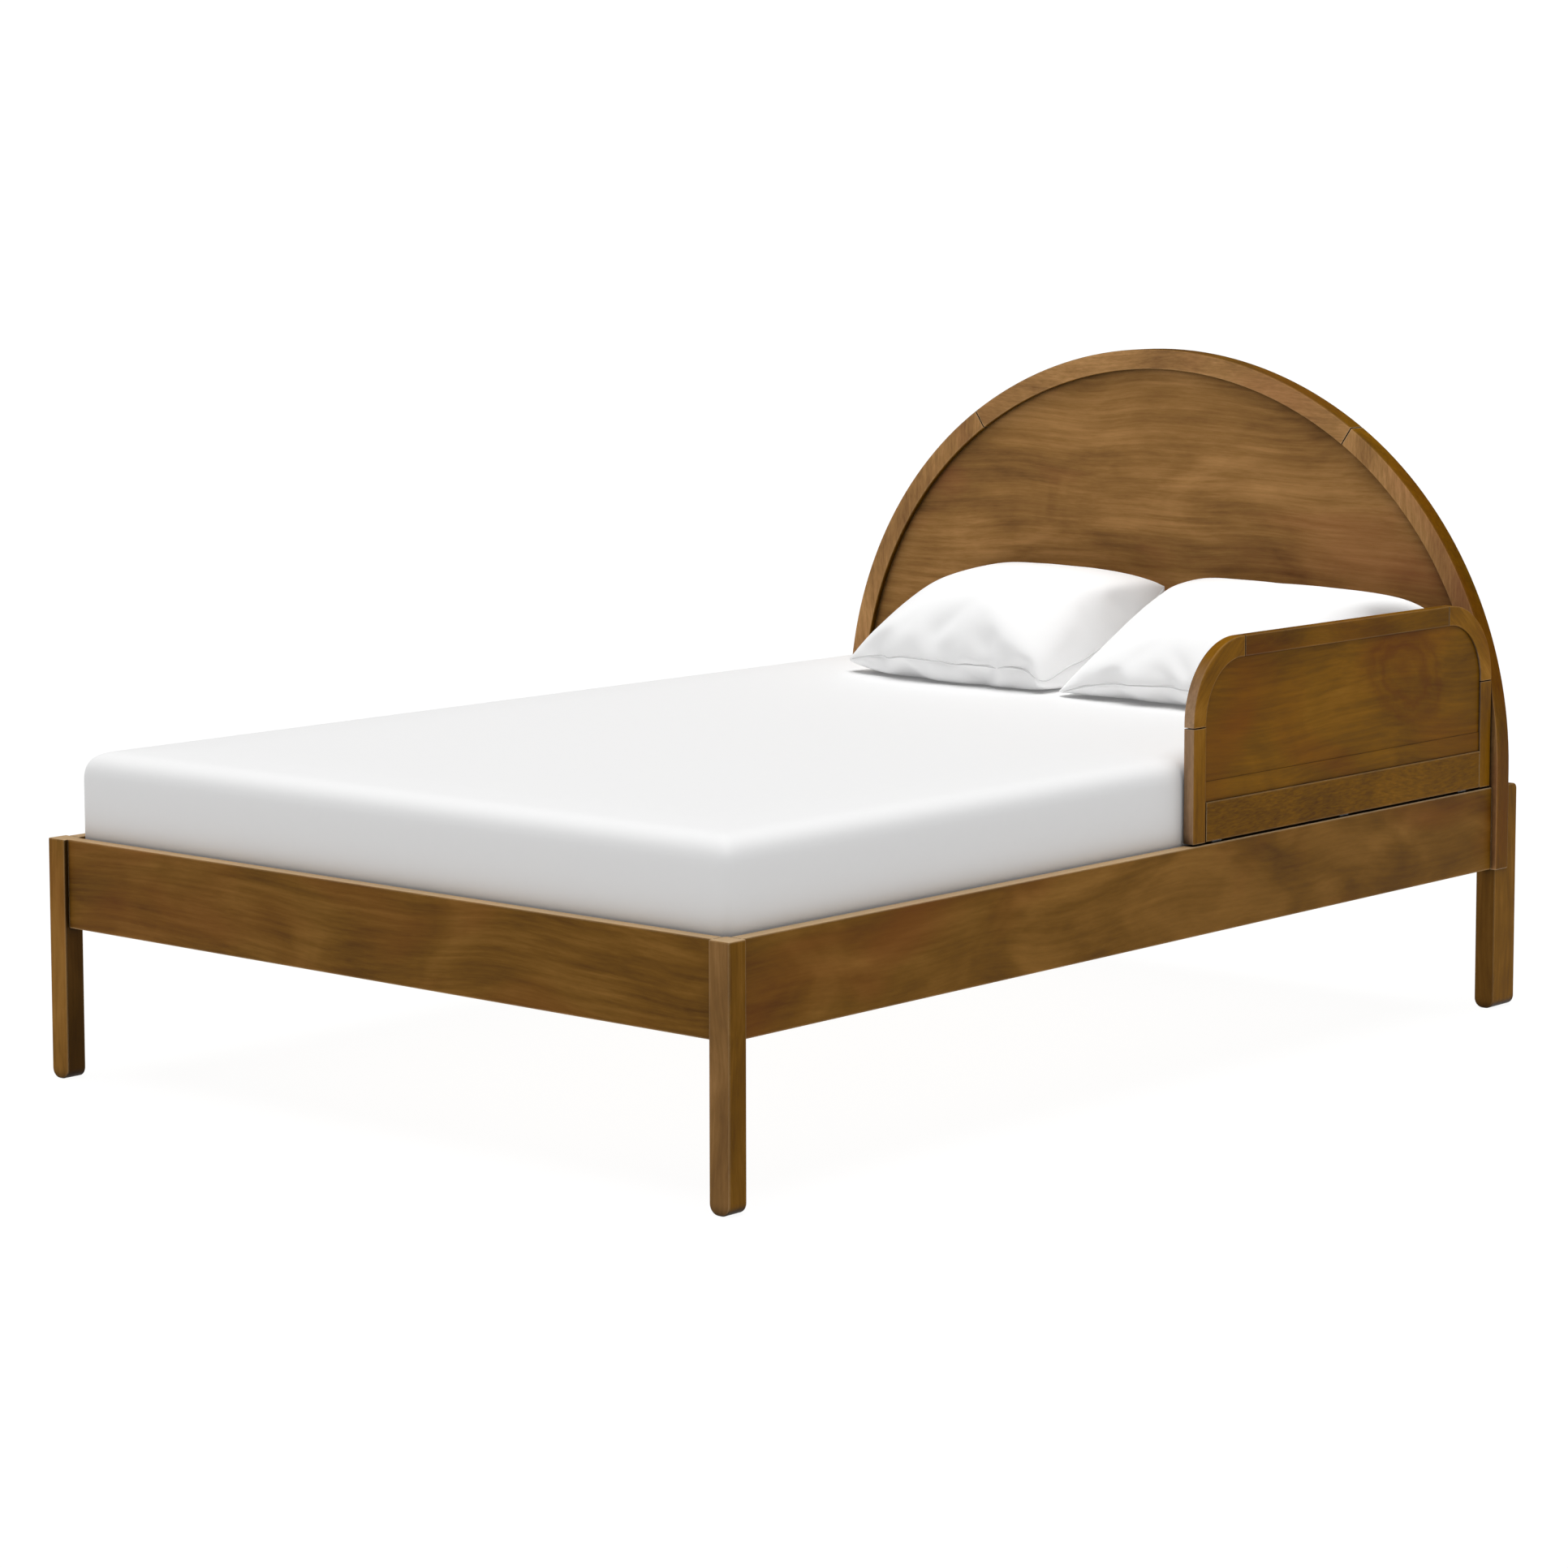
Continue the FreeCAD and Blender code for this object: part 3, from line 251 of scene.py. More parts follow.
def stained_wood(name, turn, wood, tone=1.0, front=1.0, rich=1.05, lit_front_saturation=1.0, streak=0.5,
                 fleck=0.0, edge_highlight=0.5, lit_top=0.0, shade_reach=0.022, inner=None, knot=None):
    """Walnut-stained maple under satin lacquer: the stain clouds and streaks along the grain,
    fine pore lines run through it, eased edges and level tops get a painted highlight, front faces
    painted light or shade, and inward faces and inside corners painted shade.  Real pores are about 0.3
    mm wide; they are drawn about ten times coarser so that they show from across a room."""
    material, shader = new_material(name, IOR=1.5)
    shader.inputs["Specular IOR Level"].default_value = 0.05
    coords = add_node(material, "ShaderNodeTexCoord")
    chance = add_node(material, "ShaderNodeObjectInfo").outputs["Random"]
    start = add_node(material, "ShaderNodeVectorMath",
                     {0: (7.3, 3.1, 5.7), "Scale": chance}, operation="SCALE")
    spread = add_node(material, "ShaderNodeVectorMath",
                      {0: coords.outputs["Object"], 1: start.outputs[0]}, operation="ADD")
    board = add_node(material, "ShaderNodeMapping", {"Vector": spread.outputs[0], "Rotation": turn})
    wander = add_node(material, "ShaderNodeTexNoise",
                      {"Vector": board.outputs[0], "Scale": 2.6, "Detail": 1.0})
    centred = add_node(material, "ShaderNodeVectorMath",
                       {0: wander.outputs["Color"], 1: (0.5, 0.5, 0.5)}, operation="SUBTRACT")
    bent = add_node(material, "ShaderNodeVectorMath",
                    {0: centred.outputs[0], 1: (0.0, 0.06, 0.06), 2: board.outputs[0]},
                    operation="MULTIPLY_ADD")

    # Clouds of stain, wisps of grain and pore lines, each on its own scale.
    clouds = add_node(material, "ShaderNodeVectorMath",
                      {0: bent.outputs[0], 1: (0.5, 1, 1)}, operation="MULTIPLY")
    patch = add_node(material, "ShaderNodeTexNoise",
                     {"Vector": clouds.outputs[0], "Scale": 1 / wood.patch_width, "Detail": 3.0,
                      "Roughness": 0.5, "Distortion": 0.9})
    lines = add_node(material, "ShaderNodeVectorMath",
                     {0: bent.outputs[0], 1: (0.03, 1, 1)}, operation="MULTIPLY")
    band = add_node(material, "ShaderNodeTexNoise",
                    {"Vector": lines.outputs[0], "Scale": 1 / wood.band_width, "Detail": 4.0,
                     "Roughness": 0.6})
    specks = add_node(material, "ShaderNodeVectorMath",
                      {0: bent.outputs[0], 1: (0.16, 1, 1)}, operation="MULTIPLY")
    pores = add_node(material, "ShaderNodeTexNoise",
                     {"Vector": specks.outputs[0], "Scale": 1 / wood.pore_width, "Detail": 2.0,
                      "Roughness": 0.6})
    tone_mix = add_node(material, "ShaderNodeMix",
                        {"Factor": streak, "A": patch.outputs["Fac"], "B": band.outputs["Fac"]})
    grain = add_node(material, "ShaderNodeMix",
                     {"Factor": 0.10 + fleck, "A": tone_mix.outputs[0], "B": pores.outputs["Fac"]})
    ramp = add_node(material, "ShaderNodeValToRGB", {"Fac": grain.outputs[0]})
    stops = ramp.color_ramp.elements
    stops[0].position, stops[0].color = 0.32, tuple(wood.stain_dark) + (1,)
    stops[1].position, stops[1].color = 0.70, tuple(wood.stain_light) + (1,)
    middle = stops.new(0.50)
    middle.color = tuple(wood.stain_mid) + (1,)
    warm = add_node(material, "ShaderNodeTexNoise",
                    {"Vector": clouds.outputs[0], "Scale": 5.2, "Detail": 2.0, "Roughness": 0.5,
                     "Distortion": 0.6})
    warm_share = add_node(material, "ShaderNodeMapRange",
                          {"Value": warm.outputs["Fac"], "From Min": 0.52, "From Max": 0.74,
                           "To Min": 0.0, "To Max": 0.5})
    red = tuple(wood.stain_red) + (1,)
    colour = add_node(material, "ShaderNodeMix",
                      {"Factor": warm_share.outputs[0], "A": ramp.outputs["Color"], "B": red},
                      data_type="RGBA").outputs["Result"]
    if knot:
        colour = knot_figure(material, coords, centred, turn, knot, colour, red)

    # Painted light and sheen: faces turned to the front (-Y) are made lighter or darker, and less or
    # more saturated, than the rest of the board, as the light falling on them would make them.
    facing = add_node(material, "ShaderNodeVectorMath",
                      {0: coords.outputs["Normal"], 1: (0, -1, 0)}, operation="DOT_PRODUCT")
    value = add_node(material, "ShaderNodeMapRange",
                     {"Value": facing.outputs["Value"], "From Min": 0.6, "From Max": 0.95,
                      "To Min": tone, "To Max": tone * front})
    lit_saturation = add_node(material, "ShaderNodeMapRange",
                        {"Value": facing.outputs["Value"], "From Min": 0.6, "From Max": 0.95,
                         "To Min": rich, "To Max": lit_front_saturation})
    colour = add_node(material, "ShaderNodeHueSaturation",
                      {"Color": colour, "Value": value.outputs[0],
                       "Saturation": lit_saturation.outputs[0]}).outputs["Color"]
    if inner:
        # Painted shade: faces turned in under the bed are darkened, as if in shadow.
        inward = add_node(material, "ShaderNodeVectorMath",
                          {0: coords.outputs["Normal"], 1: inner}, operation="DOT_PRODUCT")
        painted_shade_share = add_node(material, "ShaderNodeMapRange",
                               {"Value": inward.outputs["Value"], "From Min": 0.6,
                                "From Max": 0.95, "To Min": 1.0, "To Max": 0.3})
        colour = add_node(material, "ShaderNodeVectorMath",
                          {0: colour, "Scale": painted_shade_share.outputs[0]}, operation="SCALE").outputs[0]

    if lit_top:
        # Painted light: level tops are mixed towards the pale highlight colour, as if lit from above.
        skyward = add_node(material, "ShaderNodeVectorMath",
                           {0: coords.outputs["Normal"], 1: (0, 0, 1)}, operation="DOT_PRODUCT")
        lit_top_share = add_node(material, "ShaderNodeMapRange",
                        {"Value": skyward.outputs["Value"], "From Min": 0.6, "From Max": 0.95,
                         "To Min": 0.0, "To Max": lit_top})
        colour = add_node(material, "ShaderNodeMix",
                          {"Factor": lit_top_share.outputs[0], "A": colour,
                           "B": tuple(wood.painted_highlight) + (1,)}, data_type="RGBA").outputs["Result"]

    # Painted highlight on the eased edges: where a rounded normal parts from the true one the wood is
    # mixed towards a pale colour.
    rounded = add_node(material, "ShaderNodeBevel", {"Radius": 0.0028}, samples=4)
    true_normal = add_node(material, "ShaderNodeNewGeometry").outputs["True Normal"]
    turn_away = add_node(material, "ShaderNodeVectorMath",
                         {0: rounded.outputs[0], 1: true_normal}, operation="DOT_PRODUCT")
    edge_highlight_share = add_node(material, "ShaderNodeMapRange",
                         {"Value": turn_away.outputs["Value"], "From Min": 0.995, "From Max": 0.87,
                          "To Min": 0.0, "To Max": edge_highlight})
    colour = add_node(material, "ShaderNodeMix",
                      {"Factor": edge_highlight_share.outputs[0], "A": colour,
                       "B": tuple(wood.painted_highlight) + (1,)}, data_type="RGBA").outputs["Result"]

    # Painted shade: the wood is darkened in inside corners, recesses and joints, where little light
    # reaches.
    corner = add_node(material, "ShaderNodeAmbientOcclusion", {"Distance": shade_reach}, samples=6)
    painted_shade = add_node(material, "ShaderNodeMapRange",
                      {"Value": corner.outputs["AO"], "From Min": 0.4, "From Max": 0.96,
                       "To Min": 0.12, "To Max": 1.0}, interpolation_type="SMOOTHSTEP")
    colour = add_node(material, "ShaderNodeVectorMath",
                      {0: colour, "Scale": painted_shade.outputs[0]}, operation="SCALE").outputs[0]
    link(material, colour, shader.inputs["Base Color"])
    gloss = add_node(material, "ShaderNodeMapRange",
                     {"Value": pores.outputs["Fac"], "To Min": 0.34, "To Max": 0.5})
    link(material, gloss.outputs[0], shader.inputs["Roughness"])
    relief = add_node(material, "ShaderNodeBump",
                      {"Height": pores.outputs["Fac"], "Strength": 0.12, "Distance": 0.0004})
    link(material, relief.outputs[0], shader.inputs["Normal"])
    return material


def knot_figure(material, coords, wander, turn, knot, colour, red):
    """A buried knot: a dark cloud with a reddish oval of growth rings round it."""
    centred = add_node(material, "ShaderNodeVectorMath",
                       {0: coords.outputs["Object"], 1: tuple(knot)}, operation="SUBTRACT")
    turned = add_node(material, "ShaderNodeMapping",
                      {"Vector": centred.outputs[0], "Rotation": turn, "Scale": (1, 1, 1)})
    uneven = add_node(material, "ShaderNodeVectorMath",
                      {0: wander.outputs[0], 1: (0.14, 0.14, 0.14), 2: turned.outputs[0]},
                      operation="MULTIPLY_ADD")
    oval = add_node(material, "ShaderNodeVectorMath",
                    {0: uneven.outputs[0], 1: (0.72, 1, 1)}, operation="MULTIPLY")
    reach = add_node(material, "ShaderNodeVectorMath", {0: oval.outputs[0]}, operation="LENGTH")
    ripple = add_node(material, "ShaderNodeTexNoise",
                      {"Vector": oval.outputs[0], "Scale": 38.0, "Detail": 3.0})
    rough_reach = add_node(material, "ShaderNodeMath",
                           {0: ripple.outputs["Fac"], 1: 0.045, 2: reach.outputs["Value"]},
                           operation="MULTIPLY_ADD")
    rings = add_node(material, "ShaderNodeValToRGB", {"Fac": rough_reach.outputs[0]})
    stops = rings.color_ramp.elements
    stops[0].position, stops[0].color = 0.03, (0.42, 0.42, 0.42, 1)
    stops[1].position, stops[1].color = 0.135, (0.0, 0.0, 0.0, 1)
    for position, level in ((0.055, 0.12), (0.075, 0.55), (0.088, 0.14), (0.102, 0.42), (0.116, 0.05)):
        stops.new(position).color = (level, level, level, 1)
    return add_node(material, "ShaderNodeMix",
                    {"Factor": rings.outputs["Color"], "A": colour,
                     "B": tuple(0.62 * c for c in red[:3]) + (1,)},
                    data_type="RGBA").outputs["Result"]


def raw_timber(name, turn, dark, light, line_width):
    """Planed timber with no finish: matt, pale, with soft bands of grain along its length."""
    material, shader = new_material(name, Roughness=0.68, IOR=1.48)
    place = add_node(material, "ShaderNodeTexCoord").outputs["Object"]
    chance = add_node(material, "ShaderNodeObjectInfo").outputs["Random"]
    start = add_node(material, "ShaderNodeVectorMath",
                     {0: (5.1, 2.7, 6.3), "Scale": chance}, operation="SCALE")
    spread = add_node(material, "ShaderNodeVectorMath",
                      {0: place, 1: start.outputs[0]}, operation="ADD")
    board = add_node(material, "ShaderNodeMapping",
                     {"Vector": spread.outputs[0], "Rotation": turn})
    lines = add_node(material, "ShaderNodeVectorMath",
                     {0: board.outputs[0], 1: (0.05, 1, 1)}, operation="MULTIPLY")
    band = add_node(material, "ShaderNodeTexNoise",
                    {"Vector": lines.outputs[0], "Scale": 1 / line_width, "Detail": 4.0,
                     "Roughness": 0.6, "Distortion": 0.6})
    ramp = add_node(material, "ShaderNodeValToRGB", {"Fac": band.outputs["Fac"]})
    stops = ramp.color_ramp.elements
    stops[0].position, stops[0].color = 0.33, linear(dark)
    stops[1].position, stops[1].color = 0.62, linear(light)
    link(material, ramp.outputs["Color"], shader.inputs["Base Color"])
    relief = add_node(material, "ShaderNodeBump",
                      {"Height": band.outputs["Fac"], "Strength": 0.2, "Distance": 0.0005})
    link(material, relief.outputs[0], shader.inputs["Normal"])
    return material


def zinc_plate():
    """Zinc-plated steel: a cool grey metal whose plating clouds its gloss a little."""
    material, shader = new_material("zinc_plated_steel", Metallic=1.0, Roughness=0.34)
    place = add_node(material, "ShaderNodeTexCoord").outputs["Object"]
    cloud = add_node(material, "ShaderNodeTexNoise",
                     {"Vector": place, "Scale": 160.0, "Detail": 3.0})
    ramp = add_node(material, "ShaderNodeValToRGB", {"Fac": cloud.outputs["Fac"]})
    ramp.color_ramp.elements[0].color = linear("#9da1a6")
    ramp.color_ramp.elements[1].color = linear("#cfd2d4")
    link(material, ramp.outputs["Color"], shader.inputs["Base Color"])
    gloss = add_node(material, "ShaderNodeMapRange",
                     {"Value": cloud.outputs["Fac"], "To Min": 0.26, "To Max": 0.44})
    link(material, gloss.outputs[0], shader.inputs["Roughness"])
    return material


def webbing():
    """Woven polyester webbing: dull charcoal ribs 1.5 mm apart, drawn 4 mm apart to show."""
    material, shader = new_material("polyester_webbing", Roughness=0.8, Sheen_Weight=0.15)
    place = add_node(material, "ShaderNodeTexCoord").outputs["Object"]
    ribs = add_node(material, "ShaderNodeTexWave",
                    {"Vector": place, "Scale": 78.0, "Distortion": 0.6, "Detail": 1.0},
                    bands_direction="Y")
    ramp = add_node(material, "ShaderNodeValToRGB", {"Fac": ribs.outputs["Fac"]})
    ramp.color_ramp.elements[0].color = linear("#2c2c2e")
    ramp.color_ramp.elements[1].color = linear("#4d4d50")
    link(material, ramp.outputs["Color"], shader.inputs["Base Color"])
    relief = add_node(material, "ShaderNodeBump",
                      {"Height": ribs.outputs["Fac"], "Strength": 0.5, "Distance": 0.0006})
    link(material, relief.outputs[0], shader.inputs["Normal"])
    return material


def cotton(name, colour, thread=0.0016, soft=0.25, painted_glow=0.0):
    """Plain-woven bleached cotton: matt white with a soft bloom at glancing angles.  The
    threads are 0.25 mm apart and are drawn as crossed ribs several times coarser, very shallow,
    so that the cloth has a tooth close up and stays smooth from across the room."""
    material, shader = new_material(name, Roughness=0.86, IOR=1.45, Sheen_Weight=soft,
                                    Sheen_Roughness=0.45)
    shader.inputs["Specular IOR Level"].default_value = 0.25
    # Painted glow: the cloth gives off a little light of its own, so it looks brighter than the light
    # falling on it would make it.
    shader.inputs["Emission Color"].default_value = (1, 1, 1, 1)
    shader.inputs["Emission Strength"].default_value = painted_glow
    place = add_node(material, "ShaderNodeTexCoord").outputs["Object"]
    warp = add_node(material, "ShaderNodeTexWave", {"Vector": place, "Scale": 0.32 / thread,
                    "Distortion": 0.4, "Detail": 1.0}, bands_direction="X")
    weft = add_node(material, "ShaderNodeTexWave", {"Vector": place, "Scale": 0.32 / thread,
                    "Distortion": 0.4, "Detail": 1.0}, bands_direction="Y")
    weave = add_node(material, "ShaderNodeMath",
                     {0: warp.outputs["Fac"], 1: weft.outputs["Fac"]}, operation="MULTIPLY")
    slub = add_node(material, "ShaderNodeTexNoise", {"Vector": place, "Scale": 55.0, "Detail": 4.0})
    tint = add_node(material, "ShaderNodeMapRange",
                    {"Value": slub.outputs["Fac"], "To Min": 0.985, "To Max": 1.0})
    shade = add_node(material, "ShaderNodeVectorMath",
                     {0: tuple(colour), "Scale": tint.outputs[0]}, operation="SCALE")
    link(material, shade.outputs[0], shader.inputs["Base Color"])
    tooth = add_node(material, "ShaderNodeBump",
                     {"Height": weave.outputs[0], "Strength": 0.12, "Distance": 0.0002})
    crease = add_node(material, "ShaderNodeBump",
                      {"Height": slub.outputs["Fac"], "Strength": 0.1, "Distance": 0.0008,
                       "Normal": tooth.outputs[0]})
    link(material, crease.outputs[0], shader.inputs["Normal"])
    return material


# ---------------------------------------------------------------- soft shapes

def slab(name, low, high, planes):
    """A closed box from low to high, cut through by planes given as (axis, place)."""
    deselect()
    centre = (Vector(low) + Vector(high)) / 2
    size = Vector(high) - Vector(low)
    bpy.ops.mesh.primitive_cube_add(size=1, location=centre, scale=size)
    piece = bpy.context.object
    piece.name = name
    bpy.ops.object.transform_apply(location=True, rotation=True, scale=True)
    bpy.ops.object.mode_set(mode="EDIT")
    for axis, place in planes:
        normal = Vector((0, 0, 0))
        normal[axis] = 1
        bpy.ops.mesh.select_all(action="SELECT")
        bpy.ops.mesh.bisect(plane_co=normal * place, plane_no=normal)
    bpy.ops.object.mode_set(mode="OBJECT")
    return piece


def edge_planes(low, high, fall, middle):
    """Cutting planes crowded within fall of each side and evenly spaced between."""
    steps = [fall * k / 9 for k in range(1, 10)] + [fall * (1 + 0.45 * k) for k in range(1, 6)]
    planes = []
    for axis in range(3):
        inner = [low[axis] + s for s in steps] + [high[axis] - s for s in steps]
        if axis == 2:
            inner = [p for p in inner if low[2] < p < high[2]]
        else:
            first, last = low[axis] + steps[-1], high[axis] - steps[-1]
            count = max(2, int((last - first) / middle))
            inner += [first + (last - first) * k / count for k in range(1, count)]
        planes += [(axis, p) for p in sorted(set(round(p, 5) for p in inner))]
    return planes


def round_block(piece, low, high, fall, corner_power, edge_power, crown_reach, crown_drop):
    """Rounds a box's mesh to a block: its upright corners follow a curve of corner_power and
    its long edges one of edge_power, and its top falls away a little towards the sides."""
    inner_low = Vector(low) + Vector((fall, fall, fall))
    inner_high = Vector(high) - Vector((fall, fall, fall))
    for vertex in piece.data.vertices:
        place = vertex.co
        held = Vector(min(max(place[i], inner_low[i]), inner_high[i]) for i in range(3))
        away = (place - held) / fall
        level = (abs(away.x) ** corner_power + abs(away.y) ** corner_power) ** (1 / corner_power)
        spread = (level ** edge_power + abs(away.z) ** edge_power) ** (1 / edge_power)
        if spread > 0:
            place = held + away * (max(abs(a) for a in away) / spread) * fall
        edge = min(place.x - low[0], high[0] - place.x, place.y - low[1], high[1] - place.y)
        share = max(0.0, 1 - edge / crown_reach) ** 2
        height = (place.z - low[2]) / (high[2] - low[2])
        vertex.co = place - Vector((0, 0, crown_drop * share * max(0.0, height) ** 3))


def mattress_limits(inset):
    """Corners of the mattress, drawn in by inset."""
    low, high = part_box("mattress")
    return Vector(low) + Vector((inset, inset, 0.0004)), Vector(high) - Vector((inset, inset, inset))


def bowed(point, width, depth, bow):
    """A point of a flat case whose sides are cut to bow out a little, so that they lie nearly
    straight once the case is full."""
    u, v = 2 * point.x / width, 2 * point.y / depth
    return Vector((point.x + bow * u * (1 - v * v), point.y + bow * v * (1 - u * u), point.z))


def pillow_outline(width, depth, bow, count):
    """Points round a pillow's seam, in order."""
    points = []
    for k in range(count):
        angle = 2 * math.pi * k / count
        c, s = math.cos(angle), math.sin(angle)
        reach = 1 / max(abs(c), abs(s))
        points.append(bowed(Vector((c * reach * width / 2, s * reach * depth / 2, 0)),
                            width, depth, bow))
    return points


def inflate(piece, frames=20, pressure=4.0, cap=0.12):
    """Fills a flat case with air by cloth simulation and keeps the result."""
    start = [vertex.co.copy() for vertex in piece.data.vertices]
    make_active(piece)
    modifier = piece.modifiers.new("Cloth", "CLOTH")
    cloth = modifier.settings
    cloth.quality = 6
    cloth.mass = 0.25
    cloth.tension_stiffness = cloth.compression_stiffness = 22
    cloth.shear_stiffness = 8
    cloth.bending_stiffness = 1.5
    cloth.use_pressure = True
    cloth.uniform_pressure_force = pressure
    cloth.effector_weights.gravity = 0
    modifier.collision_settings.use_collision = False
    modifier.point_cache.frame_start = 1
    modifier.point_cache.frame_end = frames
    for number in range(1, frames + 1):
        bpy.context.scene.frame_set(number)
        bpy.context.view_layer.update()
    bpy.ops.object.modifier_apply(modifier=modifier.name)
    bpy.context.scene.frame_set(1)
    for vertex, before in zip(piece.data.vertices, start):
        moved = vertex.co - before
        if moved.length > cap:
            vertex.co = before + moved * (cap / moved.length)


def ease_to(value, limit, reach):
    """value, slowed so that it meets limit over the last reach and never passes it."""
    near = limit - reach
    if value <= near:
        return value
    return near + reach * math.tanh((value - near) / reach)


class PillowPose:
    """How one pillow lies: its back on the headboard, flat where it touches."""

    def __init__(self, name, neighbour, **shape):
        low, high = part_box(name)
        self.low, self.high = Vector(low), Vector(high)
        self.neighbour = neighbour
        self.shape = shape

    def place(self, point, depth):
        """Moves a point of the loose pillow to its place on the bed."""
        shape = self.shape
        u, v, w = point
        along = (v + depth / 2) / depth
        front_share = min(1.0, max(0.0, 1 - along))
        sideways = abs(2 * u / (self.high.x - self.low.x))
        side_share = sideways ** 3
        turn, lean = math.radians(shape["turn"]), math.radians(shape["lean"])
        w *= (shape["front_loft"] + shape["back_loft"] * along) * (1 + shape["shoulder"] * sideways ** 2)
        v += depth / 2 + shape["corner_pull"] * side_share * front_share
        y = v * math.cos(lean) - w * math.sin(lean)
        z = v * math.sin(lean) + w * math.cos(lean)
        z -= shape["corner_sag"] * side_share * (0.4 + 0.6 * front_share)
        z += shape["corner_lift"] * side_share * min(1.0, max(0.0, along)) ** 2
        x = u * math.cos(turn) + (y - depth / 2) * math.sin(turn) + shape["middle"]
        y = y * math.cos(turn) - u * math.sin(turn) + shape["front"]
        z += self.low.z + shape["seam_height"]
        y = ease_to(y, self.high.y, 0.05)
        z = -ease_to(-z, -(self.low.z + 0.0005), 0.02)
        z = ease_to(z, self.high.z + shape["crest"], 0.045)
        near, far = (0.08, 0.02) if self.neighbour > 0 else (0.02, 0.04)
        x = ease_to(x, self.high.x, near)
        x = -ease_to(-x, -self.low.x, far)
        return Vector((x, y, z))


# ---------------------------------------------------------------- operators

class BED_OT_studio(bpy.types.Operator):
    """Pale shadowless floor, broad overhead light and the camera"""
    bl_idname = "bed.studio"
    bl_label = "Studio"

    def execute(self, context):
        studio = context.scene.bed_studio
        deselect()
        bpy.ops.mesh.primitive_plane_add(size=60, location=(0, 0, -0.0005))
        floor = context.object
        floor.name = "studio_floor"
        bpy.ops.object.transform_apply(location=True, rotation=True, scale=True)
        material, shader = new_material("pale_light_table", Base_Color=linear("#4c4c4c"),
                                        Roughness=0.9)
        shader.inputs["Specular IOR Level"].default_value = 0.1
        shader.inputs["Emission Color"].default_value = (1, 1, 1, 1)
        shader.inputs["Emission Strength"].default_value = studio.floor_glow
        paint(floor, material)

        light = bpy.data.lights.new("overhead_softbox", "SUN")
        light.energy = studio.sun_strength
        light.angle = math.radians(55)
        lamp = bpy.data.objects.new("overhead_softbox", light)
        lamp.rotation_euler = (math.radians(1.5), 0, 0)
        context.collection.objects.link(lamp)

        world = bpy.data.worlds.new("white_studio")
        world.use_nodes = True
        context.scene.world = world
        path = add_node(world, "ShaderNodeLightPath")
        strength = add_node(world, "ShaderNodeMapRange",
                            {"Value": path.outputs["Is Camera Ray"],
                             "To Min": studio.sky_strength, "To Max": 1.1})
        backdrop = world.node_tree.nodes["Background"]
        backdrop.inputs["Color"].default_value = (1, 1, 1, 1)
        world.node_tree.links.new(strength.outputs[0], backdrop.inputs["Strength"])

        view = bpy.data.cameras.new("studio_camera")
        view.lens = studio.camera_lens
        view.sensor_width = 36
        view.shift_x, view.shift_y = studio.camera_shift
        view.clip_end = 100
        camera = bpy.data.objects.new("studio_camera", view)
        camera.location = studio.camera_place
        camera.rotation_euler = (math.pi / 2 - studio.camera_pitch, 0, studio.camera_turn)
        context.collection.objects.link(camera)
        context.scene.camera = camera
        context.scene.view_settings.view_transform = "Standard"
        return {"FINISHED"}


class BED_OT_frame_finish(bpy.types.Operator):
    """Stain and lacquer on the posts, rails, arch, headboard panel and guard rail"""
    bl_idname = "bed.frame_finish"
    bl_label = "Frame finish"

    def execute(self, context):
        wood = context.scene.bed_wood
        for way, names in BOARDS.items():
            for start, looks in LOOKS.items():
                group = [name for name in names if name.startswith(start)]
                if group:
                    refinish(group, stained_wood("stained_maple_%s_%s" % (start[0].rstrip("_"), way),
                                                 GRAIN_TURNS[way], wood, **looks))
        # These too get painted shade in their corners and recesses; the headboard panel also gets
        # painted light on its front face, and the guard's bottom rail a painted highlight on its eased
        # edges.
        refinish(["headboard_panel"],
                 stained_wood("stained_veneer_headboard", GRAIN_TURNS["across"], wood,
                              tone=1.45, front=1.3, rich=0.95, lit_front_saturation=0.9, streak=0.42,
                              edge_highlight=0.0, shade_reach=0.03))
        low, high = (Vector(corner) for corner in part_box("guard_panel"))
        knot = Vector((high.x, low.y + (high.y - low.y) * 0.72, low.z + (high.z - low.z) * 0.66))
        refinish(["guard_panel"],
                 stained_wood("stained_veneer_guard", GRAIN_TURNS["lengthwise"], wood,
                              rich=1.08, streak=0.42, edge_highlight=0.0, shade_reach=0.012, knot=knot))
        refinish(["guard_bottom_rail"],
                 stained_wood("stained_maple_short_grain", GRAIN_TURNS["lengthwise"], wood,
                              tone=0.9, rich=1.08, streak=0.2, fleck=0.35, edge_highlight=0.6))
        return {"FINISHED"}


class BED_OT_fittings_finish(bpy.types.Operator):
    """Timber of the mattress support, dowels, steel fittings and slat webbing"""
    bl_idname = "bed.fittings_finish"
    bl_label = "Support and fittings finish"

    def execute(self, context):
        pine = raw_timber("planed_pine_across", GRAIN_TURNS["across"], "#c39a63", "#e2c594", 0.012)
        refinish([n for n in node_names("slat_") if n[5:].isdigit()], pine)
        pine_long = raw_timber("planed_pine_lengthwise", GRAIN_TURNS["lengthwise"],
                               "#c39a63", "#e2c594", 0.012)
        refinish(node_names("slat_cleat_", "centre_beam"), pine_long)
        beech = raw_timber("beech_dowel", GRAIN_TURNS["across"], "#c9a070", "#dfbd8f", 0.004)
        refinish([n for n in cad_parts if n.endswith("dowels")], beech)
        steel = zinc_plate()
        refinish([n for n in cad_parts
                  if n.endswith(("studs", "washers", "nuts", "bolts", "screws", "tongues"))], steel)
        refinish(node_names("beam_hanger_foot", "beam_hanger_head"), steel)
        refinish(node_names("slat_strap_"), webbing())
        return {"FINISHED"}


